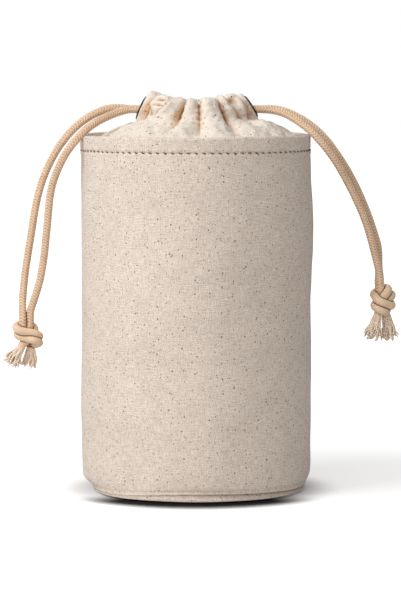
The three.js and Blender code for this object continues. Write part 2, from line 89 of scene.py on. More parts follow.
@dataclass(frozen=True)
class BagSizes:
    """Sizes that several sub-assemblies share, the same as in the solids."""

    radius: float = 65 * MM
    height: float = 200 * MM
    canvas: float = 1.2 * MM
    seam_height: float = 5 * MM
    corner_width: float = 6 * MM
    rounding_height: float = 12 * MM
    rounding_width: float = 2 * MM
    hem_depth: float = 8.7 * MM
    hem_thickness: float = 2.8 * MM
    stitches: int = 95
    lining_radius: float = 61.7 * MM
    cord: float = 4.4 * MM
    neck_radius: float = 25.8 * MM
    neck_height: float = 212.4 * MM
    neck_lean: float = math.radians(20)
    strand_spacing: float = 4.7 * MM
    eyelet_turn: float = math.radians(-7)
    eyelet_tilt: float = math.radians(8)

    @property
    def hem_bottom(self) -> float:
        """Height of the row of stitches under the hem."""
        return self.height - self.hem_depth

    def neck_point(self, angle: Array, out: Array, up: Array) -> Array:
        """A point of the gathered neck.

        Args:
            angle: Direction round the bag, in radians.
            out: Distance along the leaning normal from the line of the cords.
            up: Distance up the leaning wall from the line of the cords.

        Returns:
            The points, with the coordinates on the last axis.
        """
        lean = self.neck_lean
        radius = self.neck_radius + out * math.cos(lean) - up * math.sin(lean)
        return around(angle, radius, self.neck_height + out * math.sin(lean) + up * math.cos(lean))

    def eyelet_frame(self, side: Side) -> Array:
        """The frame of an eyelet, which the gathered cloth turns to the back and tilts up, more on the right.

        Args:
            side: The side that the eyelet is on.

        Returns:
            A 4 by 4 matrix whose X runs out through the bore and whose Z runs up the leaning wall.
        """
        angle = np.array(side.value * math.pi / 2)
        origin, out, up = (self.neck_point(angle, np.array(o), np.array(u))
                           for o, u in ((0.0, 0.0), (1.0, 0.0), (0.0, 1.0)))
        x_axis, z_axis = out - origin, up - origin
        axes = np.stack([x_axis, np.cross(z_axis, x_axis), z_axis], 1)
        tilt = self.eyelet_tilt * (1 + 0.5 * side.value)
        turned = (Matrix.Rotation(-side.value * self.eyelet_turn, 4, "Z")
                  @ Matrix.Rotation(-side.value * tilt, 4, "Y"))
        return np.array(Matrix.Translation(Vector(origin)) @ turned @ Matrix(axes.tolist()).to_4x4())


def around(angle: Array, radius: Array, height: Array) -> Array:
    """Points at an angle, a distance from the bag's axis and a height, coordinates on the last axis."""
    return np.stack(np.broadcast_arrays(radius * np.sin(angle), -radius * np.cos(angle), height), -1)


def wrapped(angle: Array) -> Array:
    """Angles in radians, brought between -pi and pi."""
    return np.angle(np.exp(1j * angle))


def smooth(share: Array) -> Array:
    """A smooth rise from 0 to 1 as share goes from 0 to 1."""
    share = np.clip(share, 0.0, 1.0)
    return share * share * (3 - 2 * share)


def bell(share: Array) -> Array:
    """1 at 0, with a smooth fall to 0 on both sides."""
    return np.exp(-share ** 2)


def arc_lengths(points: Array) -> Array:
    """Distance from the first row of points to each of them."""
    steps = np.linalg.norm(np.diff(points, axis=0), axis=-1)
    return np.concatenate([np.zeros((1,) + steps.shape[1:]), np.cumsum(steps, 0)])


def even_steps(line: Array, pitch: float) -> Array:
    """A line with its points moved along it to even steps of about pitch.

    Args:
        line: The line's points.
        pitch: Wanted length of a step.

    Returns:
        The new points.
    """
    length = arc_lengths(line)
    marks = np.linspace(0.0, length[-1], max(2, round(length[-1] / pitch) + 1))
    return np.stack([np.interp(marks, length, line[:, k]) for k in range(3)], 1)


def relaxed(line: Array, times: int) -> Array:
    """A line whose inner points are averaged with their neighbours a number of times.

    Args:
        line: The points, changed in place.
        times: How many times.

    Returns:
        The same points.
    """
    for _ in range(times):
        line[1:-1] = 0.5 * line[1:-1] + 0.25 * (line[:-2] + line[2:])
    return line


def cloth_uv(width: float, along: Array, columns: int) -> Array:
    """The uv of a closed surface: across its width in even columns, and the length along it in each row."""
    return np.stack(np.broadcast_arrays(np.linspace(0.0, width, columns + 1)[None], along[:, None]), -1)


class Unevenness:
    """Smooth waviness in space with a fixed seed, about 1 high."""

    def __init__(self, wavelength: float, seed: int, waves: int = 28) -> None:
        """Chooses the waves.

        Args:
            wavelength: Usual distance from crest to crest.
            seed: Seed of the random directions.
            waves: How many waves are added up.
        """
        rng = np.random.default_rng(seed)
        direction = rng.normal(size=(waves, 3))
        direction /= np.linalg.norm(direction, axis=1)[:, None]
        self.waves = direction * (TAU / (wavelength * rng.uniform(0.7, 1.7, (waves, 1))))
        self.phases = rng.uniform(0, TAU, waves)

    def at(self, points: Array) -> Array:
        """The waviness at points, whose coordinates are on the last axis."""
        return np.cos(points @ self.waves.T + self.phases).sum(-1) / math.sqrt(len(self.phases) / 2)


def in_scene(name: str, data: bpy.types.ID) -> Piece:
    """A new object in the scene.

    Args:
        name: Name of the object.
        data: Its mesh, camera or lamp.

    Returns:
        The object.
    """
    made = bpy.data.objects.new(name, data)
    bpy.context.scene.collection.objects.link(made)
    return made


def ring_line(name: str, line: Array) -> Piece:
    """A closed line of edges through points, as an object.

    Args:
        name: Name of the object.
        line: The points.

    Returns:
        The object.
    """
    mesh = bpy.data.meshes.new(name)
    mesh.from_pydata(line.tolist(), [(i, (i + 1) % len(line)) for i in range(len(line))], [])
    return in_scene(name, mesh)


def piece_from(name: str, vertices: Array, faces: Sequence, uv: Array,
               values: Optional[dict] = None) -> Piece:
    """Makes a smooth-shaded mesh object at the origin.

    Args:
        name: Name of the piece.
        vertices: The vertices, one row each.
        faces: Lists of vertex numbers.
        uv: One row for each corner of each face.
        values: Numbers for each vertex, by attribute name.

    Returns:
        The new object.
    """
    mesh = bpy.data.meshes.new(name)
    mesh.from_pydata(vertices.tolist(), [], faces)
    mesh.uv_layers.new(name=CLOTH_UV).data.foreach_set("uv", np.asarray(uv, np.float32).ravel())
    for key, numbers in (values or {}).items():
        layer = mesh.attributes.new(key, "FLOAT", "POINT")
        layer.data.foreach_set("value", np.asarray(numbers, np.float32).ravel())
    mesh.shade_smooth()
    return in_scene(name, mesh)


def woven(name: str, points: Array, uv: Array, wrap_rows: bool = False, caps: bool = False,
          values: Optional[dict] = None, keep: Optional[Array] = None) -> Piece:
    """Makes a surface that is closed round its columns.

    Args:
        name: Name of the piece.
        points: Rows by columns by 3.
        uv: Rows (one more where they wrap) by columns plus one by 2.
        wrap_rows: Whether the last row joins the first.
        caps: Whether the first and last rows are closed by a fan.
        values: Rows by columns numbers, by attribute name.
        keep: Rows by columns, false for the corners of quads that are left out.

    Returns:
        The new object.
    """
    rows, columns = points.shape[:2]
    i, j = np.meshgrid(np.arange(rows if wrap_rows else rows - 1), np.arange(columns), indexing="ij")
    corners = [(a % rows, b % columns) for a, b in ((i, j), (i, j + 1), (i + 1, j + 1), (i + 1, j))]
    stays = np.ones_like(i, bool) if keep is None else np.any([keep[corner] for corner in corners], 0)
    faces = np.stack([a * columns + b for a, b in corners], -1)[stays].tolist()
    loops = [np.stack([uv[i, j], uv[i, j + 1], uv[i + 1, j + 1], uv[i + 1, j]], -2)[stays].reshape(-1, 2)]
    vertices = points.reshape(-1, 3)
    numbers = {key: np.asarray(v, float).reshape(-1) for key, v in (values or {}).items()}
    for row in (0, rows - 1) if caps else ():
        ring = row * columns + np.arange(columns)
        hub = np.full(columns, len(vertices))
        vertices = np.vstack([vertices, points[row].mean(0)])
        numbers = {key: np.append(v, v[ring].mean()) for key, v in numbers.items()}
        turn = 1 if row else -1
        faces += np.stack([hub, *(ring, np.roll(ring, -1))[::turn]], 1).tolist()
        first, second = (uv[row, :-1], uv[row, 1:])[::turn]
        centre = np.broadcast_to(uv[row].mean(0), first.shape)
        loops.append(np.stack([centre, first, second], 1).reshape(-1, 2))
    if keep is not None:
        used = np.zeros(len(vertices), bool)
        used[np.ravel(faces)] = True
        number = np.cumsum(used) - 1
        faces = number[np.array(faces)].tolist()
        vertices, numbers = vertices[used], {key: v[used] for key, v in numbers.items()}
    return piece_from(name, vertices, faces, np.vstack(loops), numbers)


def plain_mesh(piece: Piece) -> Piece:
    """Puts what the modifiers of a piece give into its mesh and removes them.

    Args:
        piece: The piece.

    Returns:
        The same piece.
    """
    given = bpy.context.evaluated_depsgraph_get()
    mesh = bpy.data.meshes.new_from_object(
        piece.evaluated_get(given), preserve_all_data_layers=True, depsgraph=given)
    piece.modifiers.clear()
    old, piece.data = piece.data, mesh
    bpy.data.meshes.remove(old)
    mesh.name = piece.name
    return piece


def thicken(piece: Piece, thickness: float) -> Piece:
    """Gives a surface a thickness, half of it on each side.

    Args:
        piece: The surface.
        thickness: Its thickness.

    Returns:
        The same piece.
    """
    solidify = piece.modifiers.new("thickness", "SOLIDIFY")
    solidify.thickness, solidify.offset = thickness, 0.0
    solidify.use_even_offset, solidify.use_rim = False, True
    return plain_mesh(piece)


# Node trees and finishes


class Signal:
    """What a node gives; each arithmetic step on it adds a Math node."""

    def __init__(self, sketch: "Sketch", socket: bpy.types.NodeSocket) -> None:
        """Keeps the socket and the sketch that it belongs to."""
        self.sketch, self.socket = sketch, socket

    def __add__(self, other: object) -> "Signal":
        """The sum."""
        return self.sketch.math("ADD", self, other)

    def __rsub__(self, other: object) -> "Signal":
        """What is left of a number."""
        return self.sketch.math("SUBTRACT", other, self)

    def __sub__(self, other: object) -> "Signal":
        """The difference."""
        return self.sketch.math("SUBTRACT", self, other)

    def __mul__(self, other: object) -> "Signal":
        """The product."""
        return self.sketch.math("MULTIPLY", self, other)

    def __truediv__(self, other: object) -> "Signal":
        """The quotient."""
        return self.sketch.math("DIVIDE", self, other)

    def __pow__(self, other: object) -> "Signal":
        """The power."""
        return self.sketch.math("POWER", self, other)


class Sketch:
    """Adds the nodes of one tree and links them."""

    def __init__(self, tree: Tree) -> None:
        """Starts on a tree."""
        self.tree = tree

    def put(self, value: object, socket: bpy.types.NodeSocket) -> None:
        """Links a signal to an input, or sets a plain value there.

        Args:
            value: The signal or value.
            socket: The input.
        """
        if isinstance(value, Signal):
            self.tree.links.new(value.socket, socket)
        else:
            socket.default_value = value

    def add(self, kind: str, links: Optional[dict] = None, **settings: object) -> bpy.types.Node:
        """Adds a node.

        Args:
            kind: The node's type.
            links: Signals or values, by the name or number of the input.
            settings: Properties of the node.

        Returns:
            The node.
        """
        node = self.tree.nodes.new(kind)
        for key, value in settings.items():
            setattr(node, key, value)
        for key, value in (links or {}).items():
            self.put(value, node.inputs[key])
        return node

    def get(self, kind: str, links: Optional[dict] = None, output: object = 0, **settings: object) -> Signal:
        """Adds a node as add does, and gives one of its outputs, by name or number."""
        return Signal(self, self.add(kind, links, **settings).outputs[output])

    def math(self, operation: str, *values: object, clamp: bool = False) -> Signal:
        """The result of a Math node."""
        return self.get("ShaderNodeMath", dict(enumerate(values)), operation=operation, use_clamp=clamp)

    def parts(self, vector: Signal) -> list:
        """The three numbers of a vector."""
        return [Signal(self, part) for part in self.add("ShaderNodeSeparateXYZ", {0: vector}).outputs]

    def scaled(self, vector: Signal, scale: object) -> Signal:
        """A vector times a number."""
        return self.get("ShaderNodeVectorMath", {0: vector, "Scale": scale}, operation="SCALE")

    def stretched(self, vector: Signal, across: float, along: float, up: float = 1.0) -> Signal:
        """A vector scaled apart in its directions."""
        return self.get("ShaderNodeVectorMath", {0: vector, 1: (across, along, up)}, operation="MULTIPLY")

    def seen(self) -> Signal:
        """1 for what the camera sees, also in gloss or glass, and 0 for light on its way to other things.

        Returns:
            The signal.
        """
        path = self.add("ShaderNodeLightPath").outputs
        camera, glossy, clear = (Signal(self, path[f"Is {word} Ray"])
                                 for word in ("Camera", "Glossy", "Transmission"))
        return self.math("MAXIMUM", self.math("MAXIMUM", camera, glossy), clear)


class FinishSketch(Sketch):
    """The nodes of one material."""

    def __init__(self, name: str) -> None:
        """Starts a material with a Principled shader.

        Args:
            name: Name of the material.
        """
        self.material = bpy.data.materials.new(name)
        self.material.use_nodes = True
        super().__init__(self.material.node_tree)
        self.shader = self.tree.nodes["Principled BSDF"]

    def mix(self, share: object, first: object, second: object, blend: str = "MIX") -> Signal:
        """The result of mixing two colours."""
        inputs = {0: share, 6: first, 7: second}
        return self.get("ShaderNodeMix", inputs, 2, data_type="RGBA", blend_type=blend)

    def weigh(self, share: object, first: object, second: object) -> Signal:
        """A number between two numbers, by a share from 0 to 1."""
        return self.get("ShaderNodeMix", {0: share, 2: first, 3: second}, data_type="FLOAT")

    def between(self, value: Signal, low: float, high: float, to_low: float = 0.0,
                to_high: float = 1.0) -> Signal:
        """A value moved smoothly from one range to another."""
        links = {"Value": value, "From Min": low, "From Max": high, "To Min": to_low, "To Max": to_high}
        return self.get("ShaderNodeMapRange", links, interpolation_type="SMOOTHSTEP")

    def grey(self, level: Signal) -> Signal:
        """A grey of a level."""
        return self.get("ShaderNodeCombineColor", {0: level, 1: level, 2: level})

    def toned(self, colour: Signal, level: Signal) -> Signal:
        """A colour made darker or lighter by a level about 1."""
        return self.mix(1.0, colour, self.grey(level), "MULTIPLY")

    def noise(self, vector: Signal, scale: float, detail: float = 3.0, rough: float = 0.5) -> Signal:
        """The value of a noise texture, about 0.5."""
        links = {"Vector": vector, "Scale": scale, "Detail": detail, "Roughness": rough}
        return self.get("ShaderNodeTexNoise", links)

    def cloth_mm(self) -> Signal:
        """Millimetres across and along the cloth."""
        return self.scaled(self.get("ShaderNodeUVMap", uv_map=CLOTH_UV), 1 / MM)

    def place(self) -> Signal:
        """The place on the object."""
        return self.get("ShaderNodeTexCoord", output="Object")

    def marked(self, word: str) -> Signal:
        """A number that the mesh carries by name."""
        return self.get("ShaderNodeAttribute", output="Fac", attribute_name=word)

    def sheen(self, weight: float, roughness: float, tint: tuple) -> None:
        """Sets the sheen of a fibre on the shader itself.

        Args:
            weight: How strong it is.
            roughness: Its roughness.
            tint: Its colour.
        """
        for word, value in (("Sheen Weight", weight), ("Sheen Roughness", roughness),
                            ("Sheen Tint", (*tint, 1.0)), ("Specular IOR Level", 0.25)):
            self.shader.inputs[word].default_value = value

    def finish(self, colour: Signal, roughness: Signal, height: Signal, strength: float,
               depth: float) -> bpy.types.Material:
        """Ends the material.

        Args:
            colour: Its colour.
            roughness: Its roughness.
            height: Height of its relief.
            strength: How strongly the relief shows.
            depth: Depth of the relief.

        Returns:
            The material.
        """
        bump = self.get("ShaderNodeBump", {"Strength": strength, "Distance": depth, "Height": height})
        for word, value in (("Base Color", colour), ("Roughness", roughness), ("Normal", bump)):
            self.put(value, self.shader.inputs[word])
        return self.material


def linear(tone: tuple) -> tuple:
    """A colour of 0 to 255 as the four numbers of a shader."""
    parts = [c / 255 for c in tone]
    return tuple(p / 12.92 if p <= 0.04045 else ((p + 0.055) / 1.055) ** 2.4 for p in parts) + (1.0,)


@dataclass(frozen=True)
class SeededCloth:
    """Unbleached cotton with its weave, slubs, mottling and seed specks, and painted shade where the mesh
    marks it; sizes in millimetres.
    """

    name: str
    tone: tuple
    shade: tuple
    pitch: float = 0.72
    relief: float = 0.16
    gap: float = 0.2
    mottle: float = 0.5
    specks: float = 0.38
    # The fold colour tints painted shade into the valleys of gathered folds.
    fold_tone: Optional[tuple] = None
    speck: tuple = (80, 58, 42)
    # The crease colour is the darkest painted shade: in the deepest folds and under overhangs.
    crease: tuple = (116, 82, 58)
    wander: float = 1.1
    slub: tuple = (0.22, 1.5)
    grain: float = 1.9
    big_speck: tuple = (7.0, 0.54)
    small_speck: tuple = (3.4, 0.42)

    def weave(self, s: FinishSketch, vector: Signal) -> Signal:
        """Height of a plain weave, 0 in the gaps and 1 on the threads.

        Args:
            s: The material's nodes.
            vector: Millimetres across and along the cloth.

        Returns:
            The height.
        """
        warp, weft = (s.math("SINE", part * (math.pi / self.pitch)) for part in s.parts(vector)[:2])
        over = s.math("MULTIPLY_ADD", warp * weft, 1.6, 0.5, clamp=True)
        warp_ridge, weft_ridge = (s.math("ABSOLUTE", wave) ** 0.7 for wave in (warp, weft))
        return over * warp_ridge + (1.0 - over) * weft_ridge

    def dots(self, s: FinishSketch, vector: Signal, spacing: float, radius: float, chance: float) -> Signal:
        """Where the seed specks of one size are.

        Args:
            s: The material's nodes.
            vector: Millimetres across and along the cloth.
            spacing: Distance between two places for a speck.
            radius: Radius of a speck.
            chance: Share of the places that have one.

        Returns:
            1 on a speck, 0 elsewhere.
        """
        links = {"Vector": vector, "Scale": 1.0 / spacing}
        cells = s.add("ShaderNodeTexVoronoi", links, voronoi_dimensions="2D").outputs
        near = s.between(Signal(s, cells["Distance"]), radius / spacing, radius / spacing * 0.45)
        pick = s.get("ShaderNodeSeparateColor", {0: Signal(s, cells["Color"])})
        return near * s.math("LESS_THAN", pick, chance)

    def material(self) -> bpy.types.Material:
        """Builds the material.

        Returns:
            The material.
        """
        s = FinishSketch(self.name)
        cloth = s.cloth_mm()
        drift = s.get("ShaderNodeTexNoise", {"Vector": cloth, "Scale": 0.35, "Detail": 1.0}, 1)
        links = {0: drift, 1: (self.wander, self.wander, 0.0), 2: cloth}
        weave = self.weave(s, s.get("ShaderNodeVectorMath", links, operation="MULTIPLY_ADD"))
        slubs = (s.noise(s.stretched(cloth, *self.slub), 1.0, 2.0)
                 + s.noise(s.stretched(cloth, *self.slub[::-1]), 1.0, 2.0))
        grain = s.noise(cloth, self.grain, 3.0, 0.8)
        share = s.between(slubs * 0.6 + grain * 2.6, 1.6, 2.2)
        colour = s.mix(s.between(share, 0.0, 1.0, 1.0 - self.mottle), linear(self.shade), linear(self.tone))
        colour = s.toned(colour, s.between(s.noise(cloth, 0.07, 3.0), 0.3, 0.7, 0.955, 1.02))
        colour = s.toned(colour, s.between(weave, 0.0, 0.9, 1.0 - self.gap))
        # Painted shade: the fold mark darkens fold valleys and dents warm, and the deepest ones towards the
        # crease colour.
        if self.fold_tone:
            fold = s.marked("fold")
            colour = s.mix(s.between(fold, 0.28, 0.9, 0.0, 0.95), colour, linear(self.fold_tone), "MULTIPLY")
            colour = s.mix(s.between(fold, 0.88, 1.0, 0.0, 0.8), colour, linear(self.crease))
        # Painted shade: the crease colour where the mesh marks shade under an overhang.
        colour = s.mix(s.marked("tucked") * 0.8, colour, linear(self.crease))
        big = self.dots(s, cloth, *self.big_speck, self.specks * 0.85)
        small = self.dots(s, s.stretched(cloth, 1.0, 0.8), *self.small_speck, self.specks * 1.3)
        for share in (big, small * 0.7):
            colour = s.mix(share, colour, linear(self.speck))
        s.sheen(0.12, 0.5, (1.0, 0.96, 0.9))
        roughness = s.between(grain, 0.2, 0.8, 0.86, 0.97)
        return s.finish(colour, roughness, weave + (slubs + grain) * 0.9, 0.8, self.relief * MM)


@dataclass(frozen=True)
class BraidedCotton:
    """Cotton yarns plaited into a cord, with painted shade in the grooves where they dive under each other.
    """

    name: str = "braided_cotton"
    tone: tuple = (223, 190, 159)
    # The lit colour is a painted highlight on the ribs, the groove colour painted shade between them, and the
    # gap colour painted contact shadow where cords press together.
    lit: tuple = (246, 226, 202)
    groove: tuple = (166, 127, 97)
    gap: tuple = (84, 56, 36)

    def material(self) -> bpy.types.Material:
        """Builds the material.

        Returns:
            The material.
        """
        s = FinishSketch(self.name)
        cord, rib = s.cloth_mm(), s.marked("rib")
        fibre = s.noise(s.stretched(cord, 5.0, 2.0), 1.0, 3.0, 0.6)
        # Painted shade in the grooves, painted highlight on the rib crests, and painted contact shadow where
        # the rib mark is below 0.
        colour = s.mix(s.between(rib, 0.15, 0.75), linear(self.groove), linear(self.tone))
        lit = s.between(fibre, 0.35, 0.75) * s.between(rib, 0.5, 1.0, 0.3, 0.9)
        colour = s.mix(lit, colour, linear(self.lit))
        colour = s.mix(s.between(rib, -1.0, 0.0), linear(self.gap), colour)
        colour = s.toned(colour, s.between(s.noise(cord, 0.16, 2.0), 0.3, 0.7, 0.93, 1.04))
        s.sheen(0.2, 0.45, (1.0, 0.95, 0.88))
        return s.finish(colour, s.between(fibre, 0.2, 0.8, 0.8, 0.95), fibre, 0.6, 0.12 * MM)


@dataclass(frozen=True)
class TwistedYarn:
    """Loose cotton yarn or sewing thread, with a fine twist along it."""

    name: str
    tone: tuple
    dark: tuple
    turns_per_mm: float = 2.2

    def material(self) -> bpy.types.Material:
        """Builds the material.

        Returns:
            The material.
        """
        s = FinishSketch(self.name)
        place = s.scaled(s.place(), 1 / MM)
        links = {"Vector": place, "Scale": self.turns_per_mm / 6, "Distortion": 2.0, "Detail": 2.0}
        twist = s.get("ShaderNodeTexWave", links, 1, wave_type="BANDS", bands_direction="DIAGONAL")
        patch = s.noise(place, 0.8, 3.0)
        colour = s.mix(s.between(twist, 0.1, 0.7), linear(self.dark), linear(self.tone))
        colour = s.mix(s.between(patch, 0.35, 0.7, 0.0, 0.4), colour, linear(self.tone))
        s.sheen(0.2, 0.5, (1.0, 0.96, 0.9))
        return s.finish(colour, s.between(patch, 0.2, 0.8, 0.82, 0.95), twist, 0.5, 0.08 * MM)


@dataclass(frozen=True)
class DarkPlating:
    """Dark plated metal, satin, rubbed lighter in small patches."""

    name: str = "dark_plating"
    tone: tuple = (62, 59, 56)
    worn: tuple = (112, 106, 98)

    def material(self) -> bpy.types.Material:
        """Builds the material.

        Returns:
            The material.
        """
        s = FinishSketch(self.name)
        place = s.place()
        patch = s.noise(place, 420.0, 4.0, 0.6)
        scratch = s.noise(s.stretched(place, 900.0, 9000.0), 1.0, 2.0)
        colour = s.mix(s.between(patch, 0.5, 0.75), linear(self.tone), linear(self.worn))
        s.shader.inputs["Metallic"].default_value = 1.0
        return s.finish(colour, s.between(patch, 0.3, 0.7, 0.3, 0.45), scratch, 0.25, 0.03 * MM)


class Finishes:
    """The finish of each material slot, and how a piece gets it."""

    def __init__(self) -> None:
        """Builds every finish once."""
        canvas = SeededCloth("seeded_canvas", (247, 235, 223), (188, 167, 149), gap=0.17, mottle=0.78,
                             specks=0.33)
        # The collar's fold colour is painted shade for the valleys of its folds.
        collar = SeededCloth("collar_cotton", (242, 232, 220), (223, 210, 195), pitch=0.5, relief=0.09,
                             gap=0.14, mottle=0.6, specks=0.5, fold_tone=(222, 184, 144))
        lining = SeededCloth("lining_cotton", (232, 222, 208), (212, 200, 184), pitch=0.45, relief=0.06,
                             gap=0.1, mottle=0.35, specks=0.2)
        # A real thread, darkened as painted shade for the shadows at its needle holes; the channel stitches
        # use it too.
        thread = TwistedYarn("hem_thread", (126, 104, 86), (84, 66, 52), 4.0)
        yarn = TwistedYarn("loose_yarn", (250, 236, 218), (206, 174, 142))
        finishes = {"canvas": canvas, "collar_cloth": collar, "lining": lining, "thread": thread,
                    "cord": BraidedCotton(), "yarn": yarn, "eyelet_metal": DarkPlating()}
        self.of = {slot: finish.material() for slot, finish in finishes.items()}

    def settle(self, piece: Piece, body: str, slot: str, *nodes: str) -> Piece:
        """Dresses a finished piece and makes it ride on a body.

        Args:
            piece: The finished piece.
            body: Name of the body that it moves with, or nothing to leave it on no body.
            slot: The record's material slot.
            nodes: The solids that it stands for.

        Returns:
            The piece.
        """
        piece.data.materials.clear()
        piece.data.materials.append(self.of[slot])
        if nodes:
            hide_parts(*nodes)
        if body:
            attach(piece, body)
        LOG.info("%s: %d faces", piece.name, len(piece.data.polygons))
        return piece

    def dress_solid(self, name: str, slot: str) -> None:
        """Gives a solid that stays its finish.

        Args:
            name: Name of the solid.
            slot: Its material slot.
        """
        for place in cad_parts[name].material_slots:
            place.material = self.of[slot]
        LOG.info("%s keeps its solid", name)


# Stitches and yarns that Geometry Nodes repeat


class ShapeSketch(Sketch):
    """The nodes of one Geometry Nodes tree, with named inputs."""

    def __init__(self, name: str, inputs: dict) -> None:
        """Starts a tree.

        Args:
            name: Name of the tree.
            inputs: Default value of each input by its name, with nothing for a material.
        """
        super().__init__(bpy.data.node_groups.new(name, "GeometryNodeTree"))
        kinds = {int: "Int", float: "Float", type(None): "Material"}
        sockets = {"Geometry": "Geometry"} | {word: kinds[type(value)] for word, value in inputs.items()}
        for word, kind in sockets.items():
            socket = self.tree.interface.new_socket(word, in_out="INPUT", socket_type="NodeSocket" + kind)
            if inputs.get(word) is not None:
                socket.default_value = inputs[word]
        self.tree.interface.new_socket("Geometry", in_out="OUTPUT", socket_type="NodeSocketGeometry")
        self.given = self.tree.nodes.new("NodeGroupInput")

    def __getitem__(self, word: str) -> Signal:
        """A named input."""
        return Signal(self, self.given.outputs[word])

    def finish(self, instances: Signal) -> Tree:
        """Ends the tree in Realize Instances and Set Material.

        Args:
            instances: The instances to realize.

        Returns:
            The tree.
        """
        whole = self.get("GeometryNodeRealizeInstances", {0: instances})
        rounded = self.get("GeometryNodeSetShadeSmooth", {0: whole})
        dressed = self.get("GeometryNodeSetMaterial", {"Geometry": rounded, "Material": self["Material"]})
        self.put(dressed, self.tree.nodes.new("NodeGroupOutput").inputs[0])
        return self.tree


def run_nodes(piece: Piece, tree: Tree, values: dict) -> Piece:
    """Runs a tree on a piece and keeps the result as its plain mesh.

    Args:
        piece: The object that gives the tree its geometry.
        tree: The Geometry Nodes tree.
        values: Values by the name of the tree's inputs.

    Returns:
        The piece, with the tree's result as its mesh.
    """
    modifier = piece.modifiers.new(tree.name, "NODES")
    modifier.node_group = tree
    for item in tree.interface.items_tree:
        if item.item_type == "SOCKET" and item.in_out == "INPUT" and item.name in values:
            modifier[item.identifier] = values[item.name]
    piece.update_tag()
    return plain_mesh(piece)


def stitch_row_tree() -> Tree:
    """A row of slanting stitches along a closed line round the bag's axis.

    Returns:
        The tree.
    """
    g = ShapeSketch("stitch_row", {
        "Stitches": 95, "Stitch length": 3 * MM, "Thread radius": 0.35 * MM, "Crown": 0.5 * MM, "Slant": 0.3,
        "Facing": 1.0, "Unevenness": 0.08, "Seed": 3, "Material": None})
    half, sunk = g["Stitch length"] * 0.5, g["Crown"] * -1.0
    start, top, end = (g.get("ShaderNodeCombineXYZ", places) for places in (
        {0: half * -1.0, 2: sunk}, {2: g["Crown"]}, {0: half, 2: sunk}))
    arch = g.get("GeometryNodeCurveQuadraticBezier",
                 {"Resolution": 6, "Start": start, "Middle": top, "End": end})
    ring = g.get("GeometryNodeCurvePrimitiveCircle", {"Resolution": 6, "Radius": g["Thread radius"]})
    stitch = g.get("GeometryNodeCurveToMesh", {"Curve": arch, "Profile Curve": ring, "Fill Caps": True})
    line = g.get("GeometryNodeMeshToCurve", {0: g["Geometry"]})
    even = g.get("GeometryNodeResampleCurve", {"Curve": line, "Count": g["Stitches"]})
    outward = g.scaled(g.stretched(g.get("GeometryNodeInputPosition"), 1.0, 1.0, 0.0), g["Facing"])
    align = "FunctionNodeAlignRotationToVector"
    along = g.get(align, {"Vector": g.get("GeometryNodeInputTangent")}, axis="X")
    turned = g.get(align, {"Rotation": along, "Vector": outward}, axis="Z", pivot_axis="X")
    limits = {2: 1.0 - g["Unevenness"], 3: g["Unevenness"] + 1.0, 8: g["Seed"]}
    size = g.get("FunctionNodeRandomValue", limits, 1, data_type="FLOAT")
    links = {"Points": even, "Instance": stitch, "Rotation": turned, "Scale": size}
    placed = g.get("GeometryNodeInstanceOnPoints", links)
    lean = g.get("ShaderNodeCombineXYZ", {2: g["Slant"]})
    return g.finish(g.get("GeometryNodeRotateInstances", {"Instances": placed, "Rotation": lean}))


def yarn_tuft_tree() -> Tree:
    """A tuft of loosened, wavy yarns that hang down from the origin and flare.

    Returns:
        The tree.
    """
    g = ShapeSketch("yarn_tuft", {
        "Yarns": 20, "Length": 11 * MM, "Root radius": 1.7 * MM, "Mouth radius": 4.2 * MM,
        "Yarn radius": 0.4 * MM, "Waviness": 0.8 * MM, "Seed": 5, "Material": None})
    golden_angle, wave_rates, wave_starts = 2.39996, (7.0, 9.5), 6.283
    index = g.get("GeometryNodeInputIndex")
    radius = g["Root radius"] * g.math("SQRT", (index + 0.5) / g["Yarns"])
    turn = index * golden_angle
    spot = g.get("ShaderNodeCombineXYZ",
                 {0: radius * g.math("COSINE", turn), 1: radius * g.math("SINE", turn)})
    roots = g.get("GeometryNodePoints", {"Count": g["Yarns"], "Position": spot})
    rooted = g.add("GeometryNodeCaptureAttribute", {"Geometry": roots}, domain="POINT")
    limits = {"Min": (0.0, 0.0, 0.0), "Max": (1.0, 1.0, 1.0), 8: g["Seed"]}
    chance = g.get("FunctionNodeRandomValue", limits, data_type="FLOAT_VECTOR")
    carried = (("root", g.get("GeometryNodeInputPosition")), ("chance", chance))
    for number, (word, value) in enumerate(carried, 1):
        rooted.capture_items.new("VECTOR", word)
        g.put(value, rooted.inputs[number])
    rooted, root, chance = (Signal(g, rooted.outputs[number]) for number in range(3))
    line = g.get("GeometryNodeCurvePrimitiveLine", {"End": (0.0, 0.0, -1.0)})
    steps = g.get("GeometryNodeResampleCurve", {"Curve": line, "Count": 13})
    placed = g.get("GeometryNodeInstanceOnPoints", {"Points": rooted, "Instance": steps})
    yarns = g.get("GeometryNodeRealizeInstances", {0: placed})
    along, lot = g.get("GeometryNodeSplineParameter"), g.parts(chance)
    growth = along ** 1.1
    flare = g["Mouth radius"] / g["Root radius"] - 1.0
    fanned = g.scaled(root, growth * flare + 1.0)
    waves = [g.math("SINE", along * rate + part * wave_starts) * (g["Waviness"] * growth)
             for part, rate in zip(lot[1:], wave_rates)]
    reach = g["Length"] * (lot[0] * 0.3 + 0.78)
    wavy = g.get("ShaderNodeCombineXYZ", {0: waves[0], 1: waves[1], 2: reach * along * -1.0})
    target = g.get("ShaderNodeVectorMath", {0: fanned, 1: wavy}, operation="ADD")
    moved = g.get("GeometryNodeSetPosition", {"Geometry": yarns, "Position": target})
    thin = 1.0 - along ** 4.0 * 0.3
    sized = g.get("GeometryNodeSetCurveRadius", {"Curve": moved, "Radius": thin})
    ring = g.get("GeometryNodeCurvePrimitiveCircle", {"Resolution": 7, "Radius": g["Yarn radius"]})
    links = {"Curve": sized, "Profile Curve": ring, "Fill Caps": True, "Scale": thin}
    return g.finish(g.get("GeometryNodeCurveToMesh", links))


